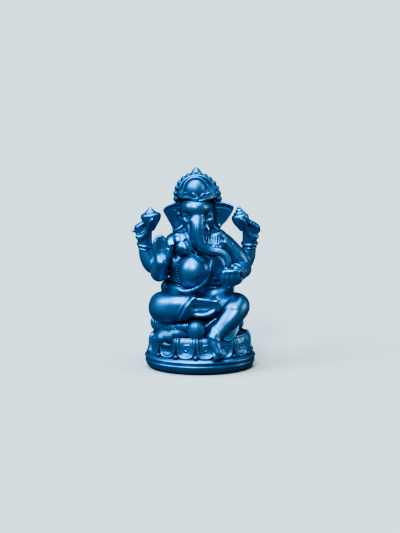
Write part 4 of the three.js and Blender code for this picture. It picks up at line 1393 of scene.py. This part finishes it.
@functools.lru_cache(None)
def crown_clay():
    """The cap, its smooth boss, two raised arches, the brim and the finial."""
    clay = fine_clay((-20, -16, 121), (17, 20, 151))
    # Middle of the cap
    x, forward, z = -1.8, 2, 128
    clay.add(lump((x, forward, z), (15.4, 14.4, 16.0)))
    clay.add(lump((x - 1.3, 10.2, z + 6.8), (8.2, 7.2, 8.8)), 0.5)

    def under_brim(block, reach):
        window = block.window((-30, -30, 100), (30, 30, 133))
        across, _, up = block.spots(window)
        edge = np.interp(
            across, [-18, -12, -8.6, -5, -2, 1.4, 4.6, 8, 16],
            [129.6, 128.6, 129.0, 128.2, 127.0, 126.8, 127.6, 128.4, 129.6],
        )
        return window, np.broadcast_to(up - edge, block.field[window].shape)

    clay.cut(under_brim)
    clay.add(lump((x, -2.2, 124.6), (14.4, 9.4, 5.4)), 0.8)
    # Two raised arches over the boss
    for reach, rise, ahead, lift, aside in ((8.8, 9.4, 12.8, 6.8, -1.3), (12.4, 11.0, 8.8, 6.0, -0.5)):
        turn = np.radians(np.linspace(-13, 193, 25))
        arch = [(x + aside + reach * math.cos(t), ahead, z + lift + rise * math.sin(t), 1.0) for t in turn]
        clay.add(limb(arch, 0.8), 0.4)
    # Brim: a roll that dips to the jewel in front, and a thin one above it
    for lift, size, back in ((-0.2, 0.7, 0.4), (1.7, 0.5, 0.6)):
        front = [
            (-15.6, 6.4, 130.0), (-11.8, 12.0, 129.6), (-8.4, 14.6, 129.9), (-5.1, 16.0, 129.2),
            (-2.4, 16.6, 128.0), (0.9, 16.6, 127.8), (4.2, 15.4, 128.8), (8, 13.0, 129.4),
            (12.4, 6.8, 130.0),
        ]
        rear = [
            (13.6, 1, 129.6), (12, -6, 128.6), (6, -11.4, 128), (-1.8, -13, 127.8), (-9.6, -11.4, 128),
            (-15.6, -6, 128.6), (-17.2, 1, 129.6), (-15.6, 6.4, 130),
        ]
        clay.add(limb([(a, b - back, c + lift, size) for a, b, c in front + rear], 1.0), 0.5)
    # Leaves and scrolls at the foot of the boss, and the jewel on the brim
    for scroll in (
        [(-11.8, 12.2, 132.4, 0.5), (-9.8, 13.8, 133.0, 0.65), (-7.6, 15.0, 132.2, 0.5)],
        [(-1.8, 16.8, 130.2, 0.4), (-3.4, 17.2, 131.8, 0.7), (-5.2, 17.2, 133.0, 0.45)],
        [(0.2, 16.6, 130.4, 0.4), (1.8, 16.4, 132.0, 0.7), (3.6, 15.8, 133.0, 0.45)],
        [(8.8, 12.4, 132.4, 0.5), (6.8, 13.8, 133.0, 0.65), (4.6, 15.0, 132.2, 0.5)],
        [(10.6, 9.4, 131.6, 0.6), (10.9, 9.2, 134.2, 0.7), (10.2, 9.2, 137.2, 0.5)],
        [(12.6, 6.8, 132.0, 0.6), (13.0, 6.6, 134.6, 0.7), (12.4, 6.4, 137.4, 0.5)],
        [(-13.6, 8.8, 132.6, 0.6), (-14.2, 8.0, 135.2, 0.7), (-13.8, 7.4, 137.8, 0.5)],
    ):
        clay.add(limb(scroll, 0.6), 0.5)
    clay.add(lump((-2.4, 17.0, 129.0), (1.3, 1.1, 1.3)), 0.3)
    finial = [
        (5.0, 13.6), (4.9, 16.4), (4.5, 17.6), (4.0, 18.3), (3.7, 18.6), (3.5, 19.2), (3.0, 20.0),
        (2.6, 20.4), (2.3, 21.0), (1.6, 21.6), (0.9, 22.1), (0.3, 22.3),
    ]
    clay.add(turned(finial, (x - 0.9, 1, z)), 0.4)
    # Flutes up the back, which the photograph doesn't show
    for i in range(9):
        at = math.radians(200 + 17.5 * i)
        flute = []
        for up in np.radians(np.linspace(14, 66, 7)):
            across, ahead = 14.8 * math.cos(at) * math.cos(up), 13.8 * math.sin(at) * math.cos(up)
            flute.append((x + across, forward + ahead, z + 15.4 * math.sin(up), 0.75))
        clay.add(limb(flute, 0.9), 0.6)
    return clay


def build_crown():
    trim = bpy.context.scene.statue_trim
    finish = lacquer("crown_lacquer", rougher=0.08, coat=0.4)
    modelled("crown", crown_clay(), finish)
    # Studs along the outline, a little to the left at the top
    x, z = -1.8, 128
    turn = np.radians(np.linspace(-2, 182, 120))
    outline = [(x - 1.2 * math.sin(t) + 15.4 * math.cos(t), 4.6, z + 16.9 * math.sin(t)) for t in turn]
    string_of("crown_studs", ball("stud", trim.stud / MM, 14, 8), outline, trim.studs, (x, 0, z - 2), finish)


# The mouse and its sweet


def mouse_clay():
    """The mouse that lies on the left with its head towards the big sweet."""
    clay = fine_clay((-35, 9, 20), (-7, 27, 38.5))
    clay.add(lump((-24.0, 17.4, 27.0), (8.8, 6.4, 6.0), 4))
    # Haunch, shoulder and head, with creases between them
    clay.add(lump((-28.0, 19.6, 26.2), (4.6, 4.9, 4.9)), 0.8)
    clay.add(lump((-21.4, 20.2, 27.4), (3.4, 4.4, 5.0)), 0.8)
    clay.add(limb([(-18.6, 19.4, 29.8, 4.4), (-15.0, 20.8, 29.6, 3.6), (-11.8, 21.4, 28.8, 2.4)], 0.8), 0.7)
    # Ears, eye and nose
    for across, ahead in ((-20.4, 17.8), (-18.8, 21.6)):
        clay.add(lump((across, ahead, 34.3), (2.1, 1.3, 2.1), 20), 0.6)
        clay.cut(lump((across + 0.3, ahead + 1.4, 34.7), (1.1, 0.9, 1.0), 20), 0.4)
    clay.add(lump((-15.4, 24.0, 31.2), (0.8, 0.7, 0.7)), 0.3)
    clay.add(lump((-10.2, 22.2, 28.8), (0.9, 1.1, 0.8)), 0.4)
    # Front paw, hind paw and tail
    clay.add(limb([(-19.6, 22.4, 25.0, 2.0), (-16.6, 23.6, 23.6, 1.4), (-14.2, 24.0, 23.2, 1.1)], 0.7), 0.8)
    clay.add(limb([(-28, 21.4, 23.0, 2.4), (-24.8, 23.4, 21.9, 1.5), (-22.6, 23.8, 21.7, 1.1)], 0.7), 0.8)
    clay.add(limb([(-33, 17, 25.4, 1.3), (-33.6, 13, 26.8, 1.0), (-31, 10.6, 28.4, 0.8)], 0.7), 0.6)
    return clay


def build_mouse():
    # Darker than the figure's lacquer: painted shade, for the thigh's shadow over the mouse and the big
    # sweet
    finish = lacquer("mouse_shaded_lacquer", brightness=0.75, rougher=0.12, coat=0.3)
    modelled("mouse", mouse_clay(), finish)
    clay = fine_clay((-11, 12, 24), (6, 29.4, 41))
    profile = [
        (5.6, -7.4), (6.8, -4.6), (7.2, -1.4), (7.0, 1.2), (6.3, 3.6), (5.0, 5.5), (3.1, 6.9), (1.3, 7.5),
        (0.3, 7.6),
    ]
    clay.add(turned(profile, (-2.6, 20.4, 32.8), squash=0.95, waves=17, depth=0.11))
    modelled("big_sweet", clay, finish)


# Jewellery


def build_jewellery():
    trim = bpy.context.scene.statue_trim
    body = body_clay()
    finish = lacquer("trim_lacquer", brightness=1.4)
    # Beads painted far brighter than the lacquer: painted light, for beads that sit in the trunk's shade
    painted_light_finish = lacquer("bead_highlit_lacquer", brightness=2.6)

    def beads(name, size, stations, count, lift):
        path = body.settle(smooth_path(stations, 0.8), lift)
        string_of(name, ball("bead", size, 10, 6), path, count, (-1.2, -4, 92), painted_light_finish)

    # Three strands on the chest, two short rows on the belly and the cord over the shoulder
    bead = trim.bead / MM
    strand = [
        (-9.4, 11, 94.4), (-6.6, 13, 91.0), (-4.4, 15, 88.2), (-2.3, 17, 85.7), (0.2, 18, 84.0),
        (3.4, 18, 84.0),
    ]
    beads("necklace", bead, strand, 15, 0.45)
    beads("second_strand", bead * 0.85, [(a - 1.5, b, c - 1.5) for a, b, c in strand[1:]], 11, 0.35)
    third = [(-6.6, 12, 96.0), (-4.9, 14, 92.8), (-3.1, 16, 89.8), (-1.2, 17, 87.2), (2.2, 18, 85.6)]
    beads("third_strand", bead, third, 11, 0.6)
    row = [
        (-17.0, 14, 79.4), (-17.4, 14, 76.4), (-17.2, 14.4, 73.4), (-16.6, 14.6, 70.4), (-15.4, 14.6, 67.4),
    ]
    beads("belly_beads_1", bead * 0.85, row, 8, 0.4)
    beads("belly_beads_2", bead * 0.85, [(a + 1.9, b, c) for a, b, c in row], 8, 0.4)
    cord = [
        (8.6, 11.6, 83), (7.6, 13.2, 79.6), (6.7, 16.0, 75.7), (5.5, 17.2, 72.2), (3.6, 18.0, 68.6),
        (0.6, 18.0, 65.6), (-2.4, 17.8, 63.4), (-6.0, 17.6, 61.8), (-9.6, 17.0, 60.9), (-13.2, 16.0, 60.9),
        (-16.4, 14.4, 62.4),
    ]
    path = smooth_path(cord, 1.0)
    clay = Clay((-20, 4, 56), (14, 28, 92), 0.4)
    taper = np.interp(np.linspace(0, 1, len(path)), [0, 0.15, 0.5, 0.85, 1], [0.5, 1.0, 1.35, 1.3, 0.7])
    clay.add(limb(np.column_stack([path, taper]), 0.8))
    clay.add(lump((-4.8, 18.6, 62.4), (1.5, 1.5, 1.4)), 0.4)
    modelled("shoulder_cord", clay, finish)


def build_body():
    skin = lacquer("figure_lacquer")
    modelled("seated_legs", legs_clay(), lacquer("cloth_lacquer"))
    modelled("body_and_arms", body_clay(), skin)
    # Collar painted brighter than the skin: a painted highlight on the tiles that face the light
    modelled("collar", collar_clay(), lacquer("collar_highlit_lacquer", brightness=1.6))


# The stage: floor, light and camera


def soft_light(name, elevation, azimuth, spread, strength, colour):
    """A wide, distant light. Angles are in degrees: the azimuth from the camera, more towards the right."""
    up, aside = math.radians(elevation), math.radians(azimuth)
    towards = Vector((math.sin(aside) * math.cos(up), -math.cos(aside) * math.cos(up), math.sin(up)))
    data = bpy.data.lights.new(name, "SUN")
    data.energy, data.angle, data.color = strength, math.radians(spread), colour
    lamp = bpy.data.objects.new(name, data)
    lamp.location = towards
    lamp.rotation_euler = (-towards).to_track_quat("-Z", "Y").to_euler()
    bpy.context.scene.collection.objects.link(lamp)


def build_stage():
    stage = bpy.context.scene.statue_stage
    # Half the side of the floor, in metres
    half = 12.0
    mesh = bpy.data.meshes.new("floor")
    mesh.from_pydata(
        [(-half, -half, 0), (half, -half, 0), (half, half, 0), (-half, half, 0)], [], [(0, 1, 2, 3)],
    )
    floor = bpy.data.objects.new("floor", mesh)
    bpy.context.scene.collection.objects.link(floor)
    material = bpy.data.materials.new("floor_paper")
    material.use_nodes = True
    shader = material.node_tree.nodes["Principled BSDF"]
    # Pale to the camera, but dim in the reflections, so that the lacquer keeps its dark undersides
    w = Wiring(material.node_tree)
    seen = w.node("ShaderNodeLightPath").outputs["Is Camera Ray"]
    tint = w.node(
        "ShaderNodeMix", {"data_type": "RGBA"}, i0=seen, i6=(0.06, 0.06, 0.06, 1), i7=(*stage.floor, 1),
    )
    material.node_tree.links.new(tint.outputs[2], shader.inputs["Base Color"])
    shader.inputs["Roughness"].default_value = 0.85
    mesh.materials.append(material)

    soft_light("key", 38, -14, 14, 2.0, (0.68, 0.87, 1.0))
    soft_light("window", 38, -64, 28, 2.6, (0.4, 0.73, 1.0))
    soft_light("overhead", 80, -14, 50, 5.2, (0.42, 0.75, 1.0))
    soft_light("rim", 15, 82, 24, 0.8, (1.0, 0.86, 0.78))
    world = bpy.data.worlds.new("studio")
    world.use_nodes = True
    background = world.node_tree.nodes["Background"]
    background.inputs["Color"].default_value = (0.75, 0.85, 1, 1)
    background.inputs["Strength"].default_value = 0.12
    scene = bpy.context.scene
    scene.world = world
    scene.view_settings.view_transform = "AgX"
    scene.view_settings.look = "AgX - High Contrast"

    # The camera that was fitted to the photograph: its focal length and the picture's height, in pixels
    focal_length, picture_height = 1618, 533
    data = bpy.data.cameras.new("camera")
    data.sensor_fit = "VERTICAL"
    data.sensor_height = 36
    data.lens = data.sensor_height * focal_length / picture_height
    data.clip_start, data.clip_end = 0.05, 60
    camera = bpy.data.objects.new("camera", data)
    # Height of the point that it is aimed at, in metres
    aim = 0.076
    back, up = stage.distance * math.cos(stage.elevation), stage.distance * math.sin(stage.elevation)
    camera.location = (0, -back, aim + up)
    camera.rotation_euler = (math.pi / 2 - stage.elevation, 0, 0)
    scene.collection.objects.link(camera)
    scene.camera = camera


# Operators, one for each piece or group of like pieces


class STATUE_OT_stage(bpy.types.Operator):
    """Builds the floor, the lights and the camera"""

    bl_idname = "statue.stage"
    bl_label = "Stage"

    def execute(self, context):
        build_stage()
        return {"FINISHED"}


class STATUE_OT_plinth(bpy.types.Operator):
    """Builds the oval base with its two lips"""

    bl_idname = "statue.plinth"
    bl_label = "Plinth"

    def execute(self, context):
        build_plinth()
        return {"FINISHED"}


class STATUE_OT_petals(bpy.types.Operator):
    """Builds the lotus petals and the beads between their feet"""

    bl_idname = "statue.petals"
    bl_label = "Petals"

    def execute(self, context):
        build_petals()
        return {"FINISHED"}


class STATUE_OT_cushion(bpy.types.Operator):
    """Builds the fluted cushion"""

    bl_idname = "statue.cushion"
    bl_label = "Cushion"

    def execute(self, context):
        build_cushion()
        return {"FINISHED"}


class STATUE_OT_body(bpy.types.Operator):
    """Builds the legs with their cloth, the belly, the chest, the arms and the collar"""

    bl_idname = "statue.body"
    bl_label = "Body"

    def execute(self, context):
        build_body()
        return {"FINISHED"}


class STATUE_OT_hands(bpy.types.Operator):
    """Builds the four hands and the shells that the raised ones hold"""

    bl_idname = "statue.hands"
    bl_label = "Hands"

    def execute(self, context):
        build_hands()
        return {"FINISHED"}


class STATUE_OT_bowl(bpy.types.Operator):
    """Builds the bowl of sweets"""

    bl_idname = "statue.bowl"
    bl_label = "Bowl"

    def execute(self, context):
        build_bowl()
        return {"FINISHED"}


class STATUE_OT_head(bpy.types.Operator):
    """Builds the elephant's head with its ears and trunk"""

    bl_idname = "statue.head"
    bl_label = "Head"

    def execute(self, context):
        modelled("elephant_head", head_clay(), lacquer("figure_lacquer"))
        return {"FINISHED"}


class STATUE_OT_crown(bpy.types.Operator):
    """Builds the crown and its studs"""

    bl_idname = "statue.crown"
    bl_label = "Crown"

    def execute(self, context):
        build_crown()
        return {"FINISHED"}


class STATUE_OT_jewellery(bpy.types.Operator):
    """Builds the necklaces, the belly beads and the shoulder cord"""

    bl_idname = "statue.jewellery"
    bl_label = "Jewellery"

    def execute(self, context):
        build_jewellery()
        return {"FINISHED"}


class STATUE_OT_mouse(bpy.types.Operator):
    """Builds the mouse and the big sweet beside it"""

    bl_idname = "statue.mouse"
    bl_label = "Mouse and sweet"

    def execute(self, context):
        build_mouse()
        return {"FINISHED"}


STEPS = (
    STATUE_OT_stage,
    STATUE_OT_plinth,
    STATUE_OT_petals,
    STATUE_OT_cushion,
    STATUE_OT_body,
    STATUE_OT_hands,
    STATUE_OT_bowl,
    STATUE_OT_head,
    STATUE_OT_crown,
    STATUE_OT_jewellery,
    STATUE_OT_mouse,
)


class STATUE_PT_panel(bpy.types.Panel):
    """Lists the steps that build the statue"""

    bl_idname = "STATUE_PT_panel"
    bl_label = "Statue"
    bl_space_type = "VIEW_3D"
    bl_region_type = "UI"
    bl_category = "Statue"

    def draw(self, context):
        for name in SETTINGS:
            group = getattr(context.scene, name)
            for key in group.__annotations__:
                self.layout.prop(group, key)
        for step in STEPS:
            self.layout.operator(step.bl_idname)


SETTINGS = {
    "statue_finish": StatueFinishSettings,
    "statue_base": StatueBaseSettings,
    "statue_figure": StatueFigureSettings,
    "statue_trim": StatueTrimSettings,
    "statue_stage": StatueStageSettings,
}


def register():
    for kind in (*SETTINGS.values(), *STEPS, STATUE_PT_panel):
        bpy.utils.register_class(kind)
    for name, kind in SETTINGS.items():
        setattr(bpy.types.Scene, name, PointerProperty(type=kind))


def unregister():
    for name in SETTINGS:
        delattr(bpy.types.Scene, name)
    for kind in (STATUE_PT_panel, *STEPS[::-1], *SETTINGS.values()):
        bpy.utils.unregister_class(kind)


def main():
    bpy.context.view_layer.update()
    register()
    for step in STEPS:
        group, name = step.bl_idname.split(".")
        getattr(getattr(bpy.ops, group), name)()


if __name__ == "__main__":
    main()
